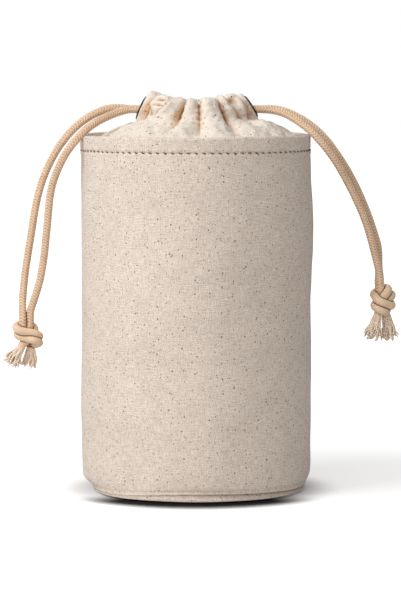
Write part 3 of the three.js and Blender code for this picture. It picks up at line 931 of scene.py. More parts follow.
# Sub-assemblies


@dataclass(frozen=True)
class Lamp:
    """A square lamp: degrees from the front and over the horizon, distance and size, watts and colour."""

    name: str
    azimuth: float
    elevation: float
    distance: float
    size: float
    power: float
    colour: tuple = WHITE[:3]


@dataclass
class Studio:
    """Camera, lamps, white ground and background."""

    eye: Vector = field(default_factory=lambda: Vector((2.2 * MM, -1730 * MM, 249 * MM)))
    aim: Vector = field(default_factory=lambda: Vector((2.2 * MM, 0.0, 106.4 * MM)))
    focal_pixels: float = 3083.0
    image_height: int = 601
    sensor: float = 36.0
    clip: tuple = (0.05, 20.0)
    lamp_aim: Vector = field(default_factory=lambda: Vector((0.0, 0.0, 0.1)))
    surround: float = 0.305
    floor_half: float = 6.0
    floor_tone: float = 0.72
    # Painted contact shadow: ambient occlusion within the contact reach darkens the floor in front of the bag
    # and dims its white glow near it.
    contact_reach: float = 30 * MM
    ahead: tuple = (-0.78, -0.42, 1.0, 0.0)
    contact_tone: tuple = (0.66, 0.9, 0.02, 0.8)
    contact_glow: tuple = (0.7, 0.96)
    shadow_glow: tuple = (0.5, 0.92, 0.25, 1.0)
    open_glow: tuple = (0.14, 0.42, 0.5, 1.0)
    LAMPS = (Lamp("key_from_left", -55, 38, 1.6, 0.9, 16.3),
             Lamp("front_fill", -6, 22, 2.0, 1.3, 9.2, (1.0, 0.955, 0.915)),
             Lamp("top_fill", 10, 80, 1.6, 1.2, 4.0))

    def place(self, name: str, data: bpy.types.ID, eye: Vector, aim: Vector) -> Piece:
        """Puts a camera or a lamp at a place, turned to another.

        Args:
            name: Name of the object.
            data: The camera or lamp.
            eye: Its place.
            aim: What it faces.

        Returns:
            The object.
        """
        made = in_scene(name, data)
        made.location = eye
        made.rotation_euler = (aim - eye).to_track_quat("-Z", "Y").to_euler()
        return made

    def camera(self) -> None:
        """Makes the camera at the photograph's viewing angle."""
        data = bpy.data.cameras.new("photo_camera")
        data.sensor_fit, data.sensor_height = "VERTICAL", self.sensor
        data.lens = self.focal_pixels / self.image_height * self.sensor
        data.clip_start, data.clip_end = self.clip
        bpy.context.scene.camera = self.place("photo_camera", data, self.eye, self.aim)

    def light(self, lamp: Lamp) -> None:
        """Makes a soft lamp that faces the bag.

        Args:
            lamp: Its place, size and power.
        """
        data = bpy.data.lights.new(lamp.name, "AREA")
        data.shape, data.size, data.energy, data.color = "SQUARE", lamp.size, lamp.power, lamp.colour
        a, e = math.radians(lamp.azimuth), math.radians(lamp.elevation)
        away = lamp.distance * Vector((math.sin(a) * math.cos(e), -math.cos(a) * math.cos(e), math.sin(e)))
        self.place(lamp.name, data, self.lamp_aim + away, self.lamp_aim)

    def world(self) -> None:
        """Sets a white background over a plain soft surrounding light."""
        world = bpy.data.worlds.new("studio")
        world.use_nodes = True
        s = Sketch(world.node_tree)
        ground = world.node_tree.nodes["Background"]
        s.put(WHITE, ground.inputs["Color"])
        strength = s.get("ShaderNodeMapRange", {"Value": s.seen(), "To Min": self.surround})
        s.put(strength, ground.inputs["Strength"])
        bpy.context.scene.world = world

    def floor(self) -> None:
        """Makes the pale floor, with a painted contact shadow where the bag touches it in front, and white
        where no shadow falls.
        """
        mesh = bpy.data.meshes.new("floor")
        w = self.floor_half
        mesh.from_pydata([(-w, -w, 0), (w, -w, 0), (w, w, 0), (-w, w, 0)], [], [(0, 1, 2, 3)])
        s = FinishSketch("pale_floor")
        s.tree.nodes.remove(s.shader)
        seen = s.seen()
        near = s.get("ShaderNodeAmbientOcclusion", {"Distance": self.contact_reach}, "AO")
        place = s.place()
        away = s.get("ShaderNodeVectorMath", {0: place}, "Value", operation="LENGTH")
        ahead = s.between(s.parts(place)[1] / away, *self.ahead)
        # Painted contact shadow: the floor's colour falls with ambient occlusion in front of the bag, and its
        # glow fades near the bag.
        tone = s.weigh(ahead * seen, self.floor_tone, s.between(near, *self.contact_tone))
        shadow, contact = s.between(near, *self.shadow_glow), s.between(near, *self.contact_glow) ** 2.0
        open_share = s.weigh(ahead, shadow, contact)
        level = seen * (open_share * s.between(away, *self.open_glow))
        matte = s.get("ShaderNodeBsdfDiffuse", {"Color": s.grey(tone)})
        glow = s.get("ShaderNodeEmission", {"Color": WHITE, "Strength": level})
        both = s.get("ShaderNodeAddShader", {0: matte, 1: glow})
        s.put(both, s.tree.nodes["Material Output"].inputs["Surface"])
        mesh.materials.append(s.material)
        in_scene("floor", mesh)

    def build(self) -> None:
        """Builds everything round the bag."""
        bpy.context.scene.view_settings.view_transform = "Standard"
        self.camera()
        self.world()
        self.floor()
        for lamp in self.LAMPS:
            self.light(lamp)
        LOG.info("studio ready")


def smooth_route(points: Sequence, pitch: float) -> Array:
    """A smooth line through points, with even steps.

    Args:
        points: The points, in millimetres.
        pitch: Length of a step, in metres.

    Returns:
        The line's points, in metres.
    """
    p = np.asarray(points, float) * MM
    p = np.vstack([2 * p[0] - p[1], p, 2 * p[-1] - p[-2]])
    fine = []
    for four in zip(p[:-3], p[1:-2], p[2:-1], p[3:]):
        knots = [0.0, *np.cumsum([math.sqrt(np.linalg.norm(b - a)) for a, b in zip(four, four[1:])])]
        t = np.linspace(knots[1], knots[2], 24, endpoint=False)[:, None]
        level = four
        for spans in (((0, 1), (1, 2), (2, 3)), ((0, 2), (1, 3)), ((1, 2),)):
            level = [((knots[j] - t) * a + (t - knots[i]) * b) / (knots[j] - knots[i])
                     for (i, j), a, b in zip(spans, level, level[1:])]
        fine.append(level[0])
    return even_steps(np.vstack([*fine, p[-2:-1]]), pitch)


@dataclass(frozen=True)
class Braid:
    """The skin of a plaited cord: columns of slanting ribs that meet in chevrons."""

    radius: float = 2.2 * MM
    sides: int = 32
    step: float = 0.3 * MM
    plaits: int = 3
    rib_pitch: float = 1.65 * MM
    rib_height: float = 0.13 * MM
    chevron: float = 0.95

    def frames(self, line: Array) -> tuple:
        """Two directions square to a line at each point, which don't twist about it.

        Args:
            line: The line's points.

        Returns:
            The directions, one row for each point.
        """
        tangent = np.gradient(line, axis=0)
        tangent /= np.linalg.norm(tangent, axis=1)[:, None]
        beside, normal = np.cross(tangent[0], [0.0, 1.0, 0.0]), []
        for ahead in tangent:
            beside = beside - ahead * np.dot(beside, ahead)
            beside = beside / np.linalg.norm(beside)
            normal.append(beside)
        return np.array(normal), np.cross(tangent, normal)

    def rings(self, line: Array, radii: Array, flatness: Array) -> tuple:
        """The rings of the skin along a line.

        Args:
            line: Points of the middle line, with even steps.
            radii: Radius at each point.
            flatness: How far the ribs are pulled flat at each point, from 0 to 1.

        Returns:
            The rings' points, their uv and the height of the ribs from 0 to 1.
        """
        turn = np.linspace(0.0, TAU, self.sides, endpoint=False)
        length = arc_lengths(line)
        plait = turn * self.plaits / TAU % 1.0
        phase = (length[:, None] / self.rib_pitch + np.abs(2 * plait - 1) * self.chevron) % 1.0
        rib = np.sin(math.pi * phase) ** 0.7 * (0.5 + 0.5 * np.abs(np.sin(TAU * plait)) ** 0.6)
        rib = rib + flatness[:, None] * (1 - rib)
        reach = radii[:, None] + self.rib_height * (rib - 0.75)
        normal, across = (direction[:, None] for direction in self.frames(line))
        outward = np.cos(turn)[:, None] * normal + np.sin(turn)[:, None] * across
        points = line[:, None] + reach[..., None] * outward
        return points, cloth_uv(TAU * self.radius, length, self.sides), rib

    def tube(self, name: str, line: Array) -> Piece:
        """A closed plaited tube along a line."""
        points, uv, rib = self.rings(line, np.full(len(line), self.radius), np.zeros(len(line)))
        return woven(name, points, uv, caps=True, values={"rib": rib})


@dataclass(frozen=True)
class OverhandTie:
    """An overhand knot in two cords at once, drawn tight by a small rope simulation, in millimetres.

    The cords lie one behind the other and are squeezed thin in the core of the knot, but keep their
    thickness in the bands round it.
    """

    spacing: float = 1.0
    core_contact: float = 2.4
    band_contact: float = 3.9
    core_reach: float = 6.0
    loop_size: float = 4.2
    loop_gap: float = 0.35
    reach: float = 36.0
    pull: float = 0.1
    steps: int = 500
    passes: int = 10
    carry: float = 0.6
    most_drift: float = 0.3
    tightness: float = 1.14
    stiffness: float = 0.04

    def loose(self) -> list:
        """The two cords, one behind the other, along a loose knot.

        Returns:
            The points of each cord.
        """
        t = np.linspace(math.pi + self.loop_gap, 3 * math.pi - self.loop_gap, 400)
        trefoil = np.stack([np.sin(t) + 2 * np.sin(2 * t), np.cos(t) - 2 * np.cos(2 * t), -np.sin(3 * t)], 1)
        loop = self.loop_size * trefoil
        level = np.full(60, loop[0, 1] - self.loop_size)
        first = np.stack([np.linspace(self.reach, loop[0, 0] + 2, 60), level, np.zeros(60)], 1)
        path = relaxed(np.vstack([first, loop, (first * [-1, 1, 1])[::-1]]), 60)
        tangent = np.gradient(path, axis=0)
        behind = np.cross(tangent, np.cross(tangent, [0.0, 0.0, 1.0]))
        behind /= np.linalg.norm(behind, axis=1)[:, None]
        return [even_steps(path + sign * 0.525 * self.band_contact * behind, self.spacing)
                for sign in (1, -1)]

    def tighten(self) -> list:
        """Draws the ends apart until the knot is tight.

        Returns:
            The points of the two cords from top to bottom, the knot's middle at the origin and X up.
        """
        cords = self.loose()
        counts = [len(c) for c in cords]
        place = np.vstack(cords)
        owner = np.repeat([0, 1], counts)
        order = np.concatenate([np.arange(n) for n in counts])
        links = np.nonzero(owner[:-1] == owner[1:])[0]
        inner = links[1:][np.diff(links) == 1]
        far = np.abs(order[:, None] - order[None]) > math.ceil(self.band_contact / self.spacing * 1.35)
        may_touch = np.triu((owner[:, None] != owner[None]) | far, 1)
        tops, bottoms = np.array([0, counts[0]]), np.array([counts[0] - 1, sum(counts) - 1])
        held = np.concatenate([tops, bottoms])
        drift = np.zeros_like(place)
        for _ in range(self.steps):
            place[tops, 0] += self.pull
            place[bottoms, 0] -= self.pull
            ends, before = place[held].copy(), place.copy()
            place = place + self.carry * drift
            place[held] = ends
            apart = ((place[:, None] - place[None]) ** 2).sum(2)
            a, b = np.nonzero(may_touch & (apart < (1.25 * self.band_contact) ** 2))
            middle = place[int(counts[0] * 0.3):int(counts[0] * 0.7)].mean(0)
            for _ in range(self.passes):
                self.keep_length(place, links, inner)
                self.push_apart(place, a, b, middle)
                place[held] = ends
            drift = np.clip(place - before, -self.most_drift, self.most_drift)
            if np.linalg.norm(place[links + 1] - place[links], axis=1).mean() > self.tightness * self.spacing:
                break
        core = np.vstack([place[owner == k][int(n * 0.28):int(n * 0.72)] for k, n in enumerate(counts)])
        place -= (core.min(0) + core.max(0)) / 2
        return [place[:counts[0]], place[counts[0]:]]

    def keep_length(self, place: Array, links: Array, inner: Array) -> None:
        """Restores the cords' length and a little of their stiffness, in place.

        Args:
            place: The points of both cords.
            links: Points with a next one.
            inner: Points with one on both sides.
        """
        for some in (links[0::2], links[1::2]):
            gap = place[some + 1] - place[some]
            length = np.linalg.norm(gap, axis=1)[:, None]
            move = 0.5 * (length - self.spacing) * gap / length
            place[some] += move
            place[some + 1] -= move
        place[inner] += self.stiffness * (0.5 * (place[inner - 1] + place[inner + 1]) - place[inner])

    def push_apart(self, place: Array, a: Array, b: Array, middle: Array) -> None:
        """Moves touching points of the cords apart, in place.

        Args:
            place: The points of both cords.
            a: The first point of each close pair.
            b: The second one.
            middle: The middle of the knot.
        """
        gap = place[b] - place[a]
        length = np.linalg.norm(gap, axis=1) + 1e-9
        out = np.linalg.norm(0.5 * (place[a] + place[b]) - middle, axis=1)
        contact = self.core_contact + (self.band_contact - self.core_contact) * smooth(out / self.core_reach)
        hit = length < contact
        move = (0.35 * (contact - length) / length)[hit, None] * gap[hit]
        share = np.sqrt(np.maximum(1, np.bincount(np.concatenate([a[hit], b[hit]]), minlength=len(place))))
        for k in range(3):
            pushed = np.bincount(b[hit], move[:, k], len(place)) - np.bincount(a[hit], move[:, k], len(place))
            place[:, k] += pushed / share


@dataclass(frozen=True)
class CordEnd:
    """Where a cord end leaves the knot, from its middle in millimetres, and the way its tuft points."""

    offset: tuple
    lean: tuple


@dataclass(frozen=True)
class Knot:
    """Height of a side's knot, how far it is turned in degrees, its stretch upwards and its tufts' length."""

    height: float
    turn: float
    stretch: float
    tuft: float


@dataclass
class Drawcords:
    """Two drawcords: a ring of each in the channel, and its two ends knotted together outside."""

    sizes: BagSizes
    finishes: Finishes
    braid: Braid = field(default_factory=Braid)
    pivot_x: float = 37.5 * MM
    exit_x: float = 31.5 * MM
    exit_height: float = 213.905 * MM
    inner_end: float = 28.15 * MM
    bend_half: float = 5.5 * MM
    knot_radius: float = 2.3 * MM
    knot_ribs: float = 0.3
    knot_gap: float = 0.3 * MM
    gap_reach: float = 0.75 * MM
    gap_dark: float = 1.9
    own_stretch: float = 9 * MM
    near_reach: float = 6 * MM
    lead_in: float = 24 * MM
    lead_out: float = 7 * MM
    path_step: float = 2 * MM
    lead_end: float = 34.6 * MM
    lead_clear: float = 0.3 * MM
    lead_turn: float = 0.25
    ring_points: int = 40
    ring_step: float = 0.6 * MM

    ROUTES = {
        (Side.LEFT, Strand.FRONT): (
            (-37.5, -2.35, 213.905), (-43.2, -3.9, 212.5), (-48.8, -7.2, 210.4), (-54.6, -11.6, 207.6),
            (-60.4, -16.0, 203.7), (-65.4, -18.8, 198.8), (-69.8, -19.4, 193.6), (-73.6, -18.4, 188.0),
            (-77.0, -16.2, 181.2), (-79.8, -13.6, 174.0), (-81.8, -11.4, 165.4), (-83.0, -9.4, 154.6),
            (-84.2, -7.6, 143.0), (-85.6, -6.0, 131.0), (-87.8, -4.6, 119.0), (-90.8, -3.6, 107.6),
            (-92.6, -3.2, 101.2), (-92.9, -3.2, 95.3)),
        (Side.LEFT, Strand.BACK): (
            (-37.5, 2.35, 213.905), (-43.2, 2.4, 214.6), (-48.8, 2.2, 214.3), (-54.4, 1.8, 212.6),
            (-60.0, 1.4, 209.8), (-65.2, 1.0, 206.2), (-70.2, 0.8, 201.6), (-74.8, 0.8, 196.2),
            (-79.0, 0.8, 190.0), (-82.8, 0.8, 183.0), (-86.2, 0.8, 175.0), (-88.9, 1.0, 166.4),
            (-91.1, 1.2, 156.0), (-93.0, 1.4, 144.0), (-95.0, 1.4, 132.0), (-96.8, 1.4, 120.0),
            (-97.6, 1.4, 109.0), (-97.4, 1.4, 101.2), (-97.0, 1.4, 95.3)),
        (Side.RIGHT, Strand.FRONT): (
            (37.5, -2.35, 213.905), (43.0, -3.2, 213.4), (48.4, -5.6, 212.0), (54.0, -9.0, 209.2),
            (59.6, -12.2, 205.4), (65.0, -14.4, 200.8), (69.6, -15.0, 195.8), (74.0, -14.6, 190.2),
            (78.2, -13.4, 184.2), (82.2, -11.6, 177.4), (86.4, -9.6, 169.6), (90.6, -7.6, 161.0),
            (94.8, -5.8, 151.0), (98.2, -4.4, 140.0), (100.8, -3.4, 129.6), (102.4, -3.0, 122.6),
            (102.7, -3.0, 116.6)),
        (Side.RIGHT, Strand.BACK): (
            (37.5, 2.35, 213.905), (43.0, 2.2, 214.0), (48.6, 1.2, 212.9), (54.4, -0.6, 210.6),
            (60.2, -2.6, 207.4), (65.8, -4.4, 203.4), (70.8, -5.4, 198.6), (75.6, -5.6, 192.8),
            (80.2, -5.0, 186.4), (84.8, -3.8, 179.0), (89.4, -2.4, 170.4), (93.6, -1.0, 161.2),
            (97.6, 0.2, 151.0), (101.2, 1.0, 140.0), (104.4, 1.6, 129.6), (106.4, 1.8, 122.6),
            (106.9, 1.8, 116.6)),
    }
    ENDS = {
        (Side.LEFT, Strand.FRONT): CordEnd((-3.4, -1.6), (-0.7, -0.1, -1.0)),
        (Side.LEFT, Strand.BACK): CordEnd((1.6, 2.6), (-0.1, 0.1, -1.0)),
        (Side.RIGHT, Strand.FRONT): CordEnd((-2.9, -2.6), (-0.27, -0.1, -1.0)),
        (Side.RIGHT, Strand.BACK): CordEnd((1.9, 1.8), (0.16, 0.1, -1.0)),
    }
    KNOTS = {Side.LEFT: Knot(14.2 * MM, 88.0, 0.95, 11.5 * MM),
             Side.RIGHT: Knot(17.4 * MM, -2.0, 1.1, 14 * MM)}

    def entries(self, side: Side) -> list:
        """Where the two strands of a side meet their knot."""
        return [np.array(self.ROUTES[side, strand][-1]) * MM for strand in Strand]

    def knot_centre(self, side: Side) -> Array:
        """The middle of a side's knot."""
        return sum(self.entries(side)) / 2 - [0.0, 0.0, self.knot_gap + self.KNOTS[side].height / 2]

    def tuft_root(self, side: Side, strand: Strand) -> Array:
        """Where a cord end leaves its knot."""
        down = -self.KNOTS[side].height / MM / 2
        return self.knot_centre(side) + np.array([*self.ENDS[side, strand].offset, down]) * MM

    def knot_lines(self, side: Side, tie: list) -> dict:
        """The two cords' lines through a knot, in place.

        Args:
            side: The side that the knot is on.
            tie: The tightened knot's two cords.

        Returns:
            The line of each strand, from where it enters the knot to its end.
        """
        knot = self.KNOTS[side]
        turn = math.radians(knot.turn)
        c, s = math.cos(turn), math.sin(turn)
        axes = np.array([(0.0, 0.0, knot.stretch), (c, s, 0.0), (s, -c, 0.0)]) * MM
        lines = []
        for cord in tie:
            placed = cord @ axes
            inside = np.nonzero(np.abs(placed[:, 2]) < knot.height / 2 + 0.4 * MM)[0]
            lines.append(placed[inside[0]:inside[-1] + 1] + self.knot_centre(side))
        entries = self.entries(side)
        straight, crossed = (sum(np.linalg.norm(line[0] - end) for line, end in zip(order, entries))
                             for order in (lines, lines[::-1]))
        return dict(zip(Strand, lines if straight <= crossed else lines[::-1]))

    @staticmethod
    def led_to(line: Array, end: Array, reach: float) -> Array:
        """A line whose last stretch, as long as reach, bends so that it ends at another point."""
        left = arc_lengths(line)[-1] - arc_lengths(line)
        return line + smooth(1 - left / reach)[:, None] * (end - line[-1])

    def whole_line(self, side: Side, strand: Strand, through_knot: Array) -> tuple:
        """The line of a cord end from inside the eyelet, through the knot, to its tuft.

        Args:
            side: The side that the strand is on.
            strand: Which of the two strands it is.
            through_knot: Its line through the knot.

        Returns:
            The line's points and the number of the point where the knot starts.
        """
        route, entry = self.ROUTES[side, strand], through_knot[0]
        inner = (side.value * self.inner_end / MM, *route[0][1:])
        free = self.led_to(smooth_route([inner, *route], self.braid.step), entry, self.lead_in)
        root, lean = self.tuft_root(side, strand), np.array(self.ENDS[side, strand].lean)
        tail = root + np.linspace(0.5 * MM, 2.4 * MM, 4)[:, None] * lean / np.linalg.norm(lean)
        joined = np.vstack([free[:-4], self.led_to(through_knot, root, self.lead_out)[2:], tail])
        joined = even_steps(relaxed(even_steps(joined, self.braid.step), 14), self.braid.step)
        return joined, int(np.argmin(np.linalg.norm(joined - entry, axis=1)))

    def gaps(self, points: Array, line: Array, other: Array) -> Array:
        """How close each point of a cord's skin is to another stretch of cord, from 0 to 1, for painted
        contact shadow.

        Args:
            points: Rings by sides by 3.
            line: The cord's middle line, one point for each ring.
            other: The other cord's middle line.

        Returns:
            Rings by sides.
        """
        number = np.arange(len(line))
        beside = np.abs(number[:, None] - number[None]) * self.braid.step < self.own_stretch
        found = np.zeros(points.shape[:2])
        for i, middle in enumerate(line):
            near = np.vstack([line[~beside[i]], other])
            near = near[np.linalg.norm(near - middle, axis=1) < self.near_reach]
            if len(near):
                closest = np.linalg.norm(points[i][:, None] - near[None], axis=2).min(1)
                found[i] = smooth((self.knot_radius + self.gap_reach - closest) / self.gap_reach)
        return found

    def strand(self, name: str, line: Array, start: int, other: Array) -> tuple:
        """Builds one free strand and its stretch in the knot.

        Args:
            name: Name of the strand.
            line: The cord's whole line.
            start: Number of the point where the knot starts.
            other: The other strand's whole line.

        Returns:
            The free strand, the stretch in the knot, and the line of the free strand.
        """
        past = arc_lengths(line)
        past = past - past[start]
        thicker = self.knot_radius - self.braid.radius
        radii = self.braid.radius + thicker * smooth((past + 5 * MM) / (6 * MM))
        points, uv, rib = self.braid.rings(line, radii, (1 - self.knot_ribs) * smooth(past / (5 * MM)))
        # Painted contact shadow: near the knot the rib mark drops below 0 where the cord presses on another
        # stretch, and the cord material turns that dark.
        near_knot = smooth((past + 30 * MM) / (24 * MM))[:, None]
        rib = rib - self.gap_dark * self.gaps(points, line, other) * near_knot
        free, tied = (woven(name + end, points[part], uv[part], caps=True, values={"rib": rib[part]})
                      for end, part in (("", slice(start + 1)), ("_in_knot", slice(start, None))))
        return free, tied, line[:start + 1]

    def tuft(self, side: Side, strand: Strand, tree: Tree) -> Piece:
        """Builds the loosened yarns at one cord end.

        Args:
            side: The side of its knot.
            strand: The strand that it ends.
            tree: The tree of a tuft.

        Returns:
            The piece.
        """
        word = f"{side.word}_{strand.word}"
        piece = piece_from(word + "_tuft", np.zeros((3, 3)), [[0, 1, 2]], np.zeros((3, 2)))
        seed = 11 + 7 * (side is Side.RIGHT) + 3 * (strand is Strand.BACK)
        run_nodes(piece, tree, {
            "Yarns": 48, "Length": self.KNOTS[side].tuft, "Root radius": 2.0 * MM,
            "Mouth radius": 4.7 * MM, "Yarn radius": 0.5 * MM, "Waviness": 0.85 * MM, "Seed": seed,
            "Material": self.finishes.of["yarn"]})
        lean = Vector(self.ENDS[side, strand].lean).normalized()
        turn = Vector((0.0, 0.0, -1.0)).rotation_difference(lean).to_matrix().to_4x4()
        root = Vector(self.tuft_root(side, strand)) + 0.3 * MM * lean
        piece.data.transform(Matrix.Translation(root) @ turn)
        return self.finishes.settle(piece, f"{side.word}_tails", "yarn", word + "_fray")

    def ring_in_channel(self, side: Side) -> Piece:
        """Builds the stretch of a cord that runs round the channel and out through its eyelet.

        Args:
            side: The side of the cord's eyelet.

        Returns:
            The piece.
        """
        s, x = self.sizes, side.value
        level = x * (s.cord / 2 + self.lead_clear)
        opening = math.asin((s.strand_spacing / 2 + s.cord / 2 + self.lead_clear) / s.neck_radius)
        middle, first = x * math.pi / 2, opening + self.lead_turn
        angles = middle + np.linspace(first, TAU - first, self.ring_points)
        ring = s.neck_point(angles, np.zeros_like(angles), np.full_like(angles, level)) / MM
        y, z = s.strand_spacing / 2 / MM, self.exit_height / MM
        leads = []
        for turned in (1, -1):
            edge = turned * x
            beside = np.array(middle + turned * (opening + 0.02))
            near = s.neck_point(beside, np.array(0.0), np.array(level * 0.6)) / MM
            leads.append([(x * self.lead_end / MM, edge * y, z), (x * 30.0, edge * y, z),
                          (x * 27.2, edge * (y + 0.9), z + 0.3 * (near[2] - z)), tuple(near)])
        line = smooth_route([*leads[0], *ring.tolist(), *leads[1][::-1]], self.ring_step)
        thin = Braid(radius=self.braid.radius - 0.16 * MM, sides=16, rib_height=0.1 * MM)
        piece = thin.tube(f"{side.word}_drawcord_in_channel", line)
        return self.finishes.settle(piece, "neck", "cord", f"{side.word}_drawcord_loop")

    def join(self, name: str, parts: list) -> Piece:
        """Joins several new pieces into one.

        Args:
            name: Name of the whole.
            parts: The pieces.

        Returns:
            The joined piece.
        """
        with bpy.context.temp_override(active_object=parts[0], object=parts[0], selected_objects=parts,
                                       selected_editable_objects=parts):
            bpy.ops.object.join()
        parts[0].name = parts[0].data.name = name
        return parts[0]

    def build(self) -> None:
        """Builds the rings, the strands, the knots and the tufts."""
        tie, tree = OverhandTie().tighten(), yarn_tuft_tree()
        settle, z = self.finishes.settle, self.exit_height
        for side in Side:
            self.ring_in_channel(side)
            through = self.knot_lines(side, tie)
            tails, pull = f"{side.word}_tails", f"{side.word}_pull"
            lines = {strand: self.whole_line(side, strand, through[strand]) for strand in Strand}
            made = {strand: self.strand(f"{side.word}_{strand.word}_strand", *lines[strand], lines[other][0])
                    for strand, other in zip(Strand, reversed(Strand))}
            knot = self.join(f"{side.word}_overhand_knot", [tied for _, tied, _ in made.values()])
            settle(knot, tails, "cord", f"{side.word}_knot")
            for strand, (piece, _, path) in made.items():
                word = f"{side.word}_{strand.word}"
                settle(piece, "", "cord", word + "_cord_root", word + "_cord_tail")
                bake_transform(piece)
                tuft = self.tuft(side, strand, tree)
                even_steps(path, self.path_step).tolist()


@dataclass(frozen=True)
class SeamPull:
    """How far the base's seam is pulled on the left and the right, in millimetres, and over which degrees."""

    left: tuple
    right: tuple
    gone: float
    fade: float = 60.0

    def at(self, angle: Array) -> Array:
        """The pull at angles, in metres.

        Args:
            angle: The angles, in radians.

        Returns:
            The pull at each of them.
        """
        away = np.degrees(wrapped(angle))
        return sum(pull * smooth((sign * away - first) / span) * smooth((self.gone - sign * away) / self.fade)
                   for sign, (pull, first, span) in ((-1, self.left), (1, self.right))) * MM


@dataclass
class Pouch:
    """The canvas tube, its turned-up base, its hem with the stitches, and the lining."""

    sizes: BagSizes
    finishes: Finishes
    columns: int = 380
    dent: float = 0.5 * MM
    small_dent: float = 0.06 * MM
    groove: float = 0.42 * MM
    groove_width: float = 0.75 * MM
    groove_least: float = 0.55
    wall_puff: tuple = (1.35 * MM, 0.85 * MM, 0.25, 0.34 * MM)
    hem_puff: tuple = (1.5 * MM, 0.9 * MM, 0.2, 0.17 * MM)
    hem_proud: float = 0.4 * MM
    lining_cloth: float = 0.6 * MM
    thread_radius: float = 0.4 * MM
    back_groove: float = 0.75 * MM
    ridge_share: float = 0.4
    ridge_place: float = 3.0 * MM
    ridge_width: float = 1.6 * MM
    wall_seam: float = 0.45 * MM
    hem_seam: float = 0.4 * MM
    pleats: int = 61
    pleat_height: float = 0.1 * MM
    pleat_reach: float = 5 * MM
    drop_reach: float = 16 * MM
    drawn_reach: float = 6 * MM
    hem_crease: float = 0.16 * MM
    hem_sag: float = 0.22 * MM
    overhang: float = 1.1 * MM
    base_lift: float = 0.25 * MM
    lining_wrinkle: float = 0.4 * MM
    lining_slack: float = 1.3 * MM
    floor_tuck: float = 0.25 * MM
    floor_height: float = 1.9 * MM
    floor_turn_up: float = 3.1 * MM
    seam_drop: SeamPull = SeamPull((3.0, 0.0, 55.0), (1.4, 5.0, 70.0), 175.0)
    drawn_in: SeamPull = SeamPull((4.6, 35.0, 50.0), (1.5, 50.0, 40.0), 165.0)
    HOLLOWS = ((35, 120, 19, 1.1), (22, 30, 14, 0.7), (-30, 150, 22, 0.6), (150, 90, 24, 0.9),
               (215, 140, 22, 0.8), (75, 70, 18, 0.6))

    def __post_init__(self) -> None:
        """Sets up the columns of the cloth and its unevenness."""
        self.angles = np.linspace(0, TAU, self.columns, endpoint=False) + math.pi
        self.phase = 0.5 + 0.5 * np.cos(self.sizes.stitches * self.angles)
        self.broad = Unevenness(75 * MM, 4)
        self.fine = Unevenness(17 * MM, 9)

    def dents(self, points: Array) -> Array:
        """How far the cloth stands out from its true surface at points.

        Args:
            points: The points, coordinates on the last axis.

        Returns:
            The distances.
        """
        out = self.dent * self.broad.at(points) + self.small_dent * self.fine.at(points)
        for angle, height, reach, depth in self.HOLLOWS:
            middle = around(math.radians(angle), self.sizes.radius, height * MM)
            out -= depth * MM * bell(np.linalg.norm(points - middle, axis=-1) / MM / reach)
        return out

    def back_seam(self) -> Array:
        """Depth of the sewn seam down the back in each column, from 0 to 1, with its soft ridges.

        Returns:
            The depths.
        """
        away = np.abs(wrapped(self.angles - math.pi)) * self.sizes.radius
        ridge = bell((away - self.ridge_place) / self.ridge_width)
        return bell(away / self.back_groove) - self.ridge_share * ridge

    def by_stitch(self, least: float) -> Array:
        """1 at the middle of each stitch and least between two, in each column."""
        return least + (1 - least) * self.phase

    def stitch_pull(self, away: Array, puff: tuple) -> Array:
        """How far the stitches pull the cloth in.

        Args:
            away: Distance of each row from the row of stitches.
            puff: Where the cloth puffs out beside them, over which width, its least share and its height.

        Returns:
            Rows by columns.
        """
        middle, width, least, height = puff
        dip = bell(away / self.groove_width)[:, None] * self.by_stitch(self.groove_least) * self.groove
        return dip - bell((away - middle) / width)[:, None] * self.by_stitch(least) * height

    def shell(self, name: str, profile: Array, outward: Array, press: Array, shift: Array,
              tucked: Optional[Array] = None) -> Piece:
        """Makes a turned piece of cloth with dents.

        Args:
            name: Name of the piece.
            profile: Radius and height of each row.
            outward: How much of the dents each row takes.
            press: Rows by columns, how far the cloth is pressed inwards.
            shift: Rows by columns, how far it is lifted.
            tucked: How deep in shade each row lies, from 0 to 1.

        Returns:
            The new object.
        """
        radius, height = profile[:, :1], profile[:, 1:]
        move = self.dents(around(self.angles, self.sizes.radius, height)) * outward[:, None] - press
        points = around(self.angles, radius + move, height)
        points[..., 2] += shift
        uv = cloth_uv(TAU * self.sizes.radius, arc_lengths(np.vstack([profile, profile[:1]])), self.columns)
        tucked = np.zeros(len(profile)) if tucked is None else tucked
        values = {"tucked": tucked[:, None] * np.ones(self.columns)}
        return woven(name, points, uv, wrap_rows=True, values=values)

    def rounded(self, radius: float, heights: Array, bottom: float) -> Array:
        """Radius and height of the wall's rows, rounded in towards its bottom.

        Args:
            radius: The wall's radius.
            heights: Heights of the rows.
            bottom: Height of the wall's lowest row.

        Returns:
            Rows by 2.
        """
        s = self.sizes
        over = np.clip((heights - bottom) / s.rounding_height, 0, 1)
        return np.stack([radius - s.rounding_width * (1 - np.sin(np.arccos(1 - over))), heights], 1)

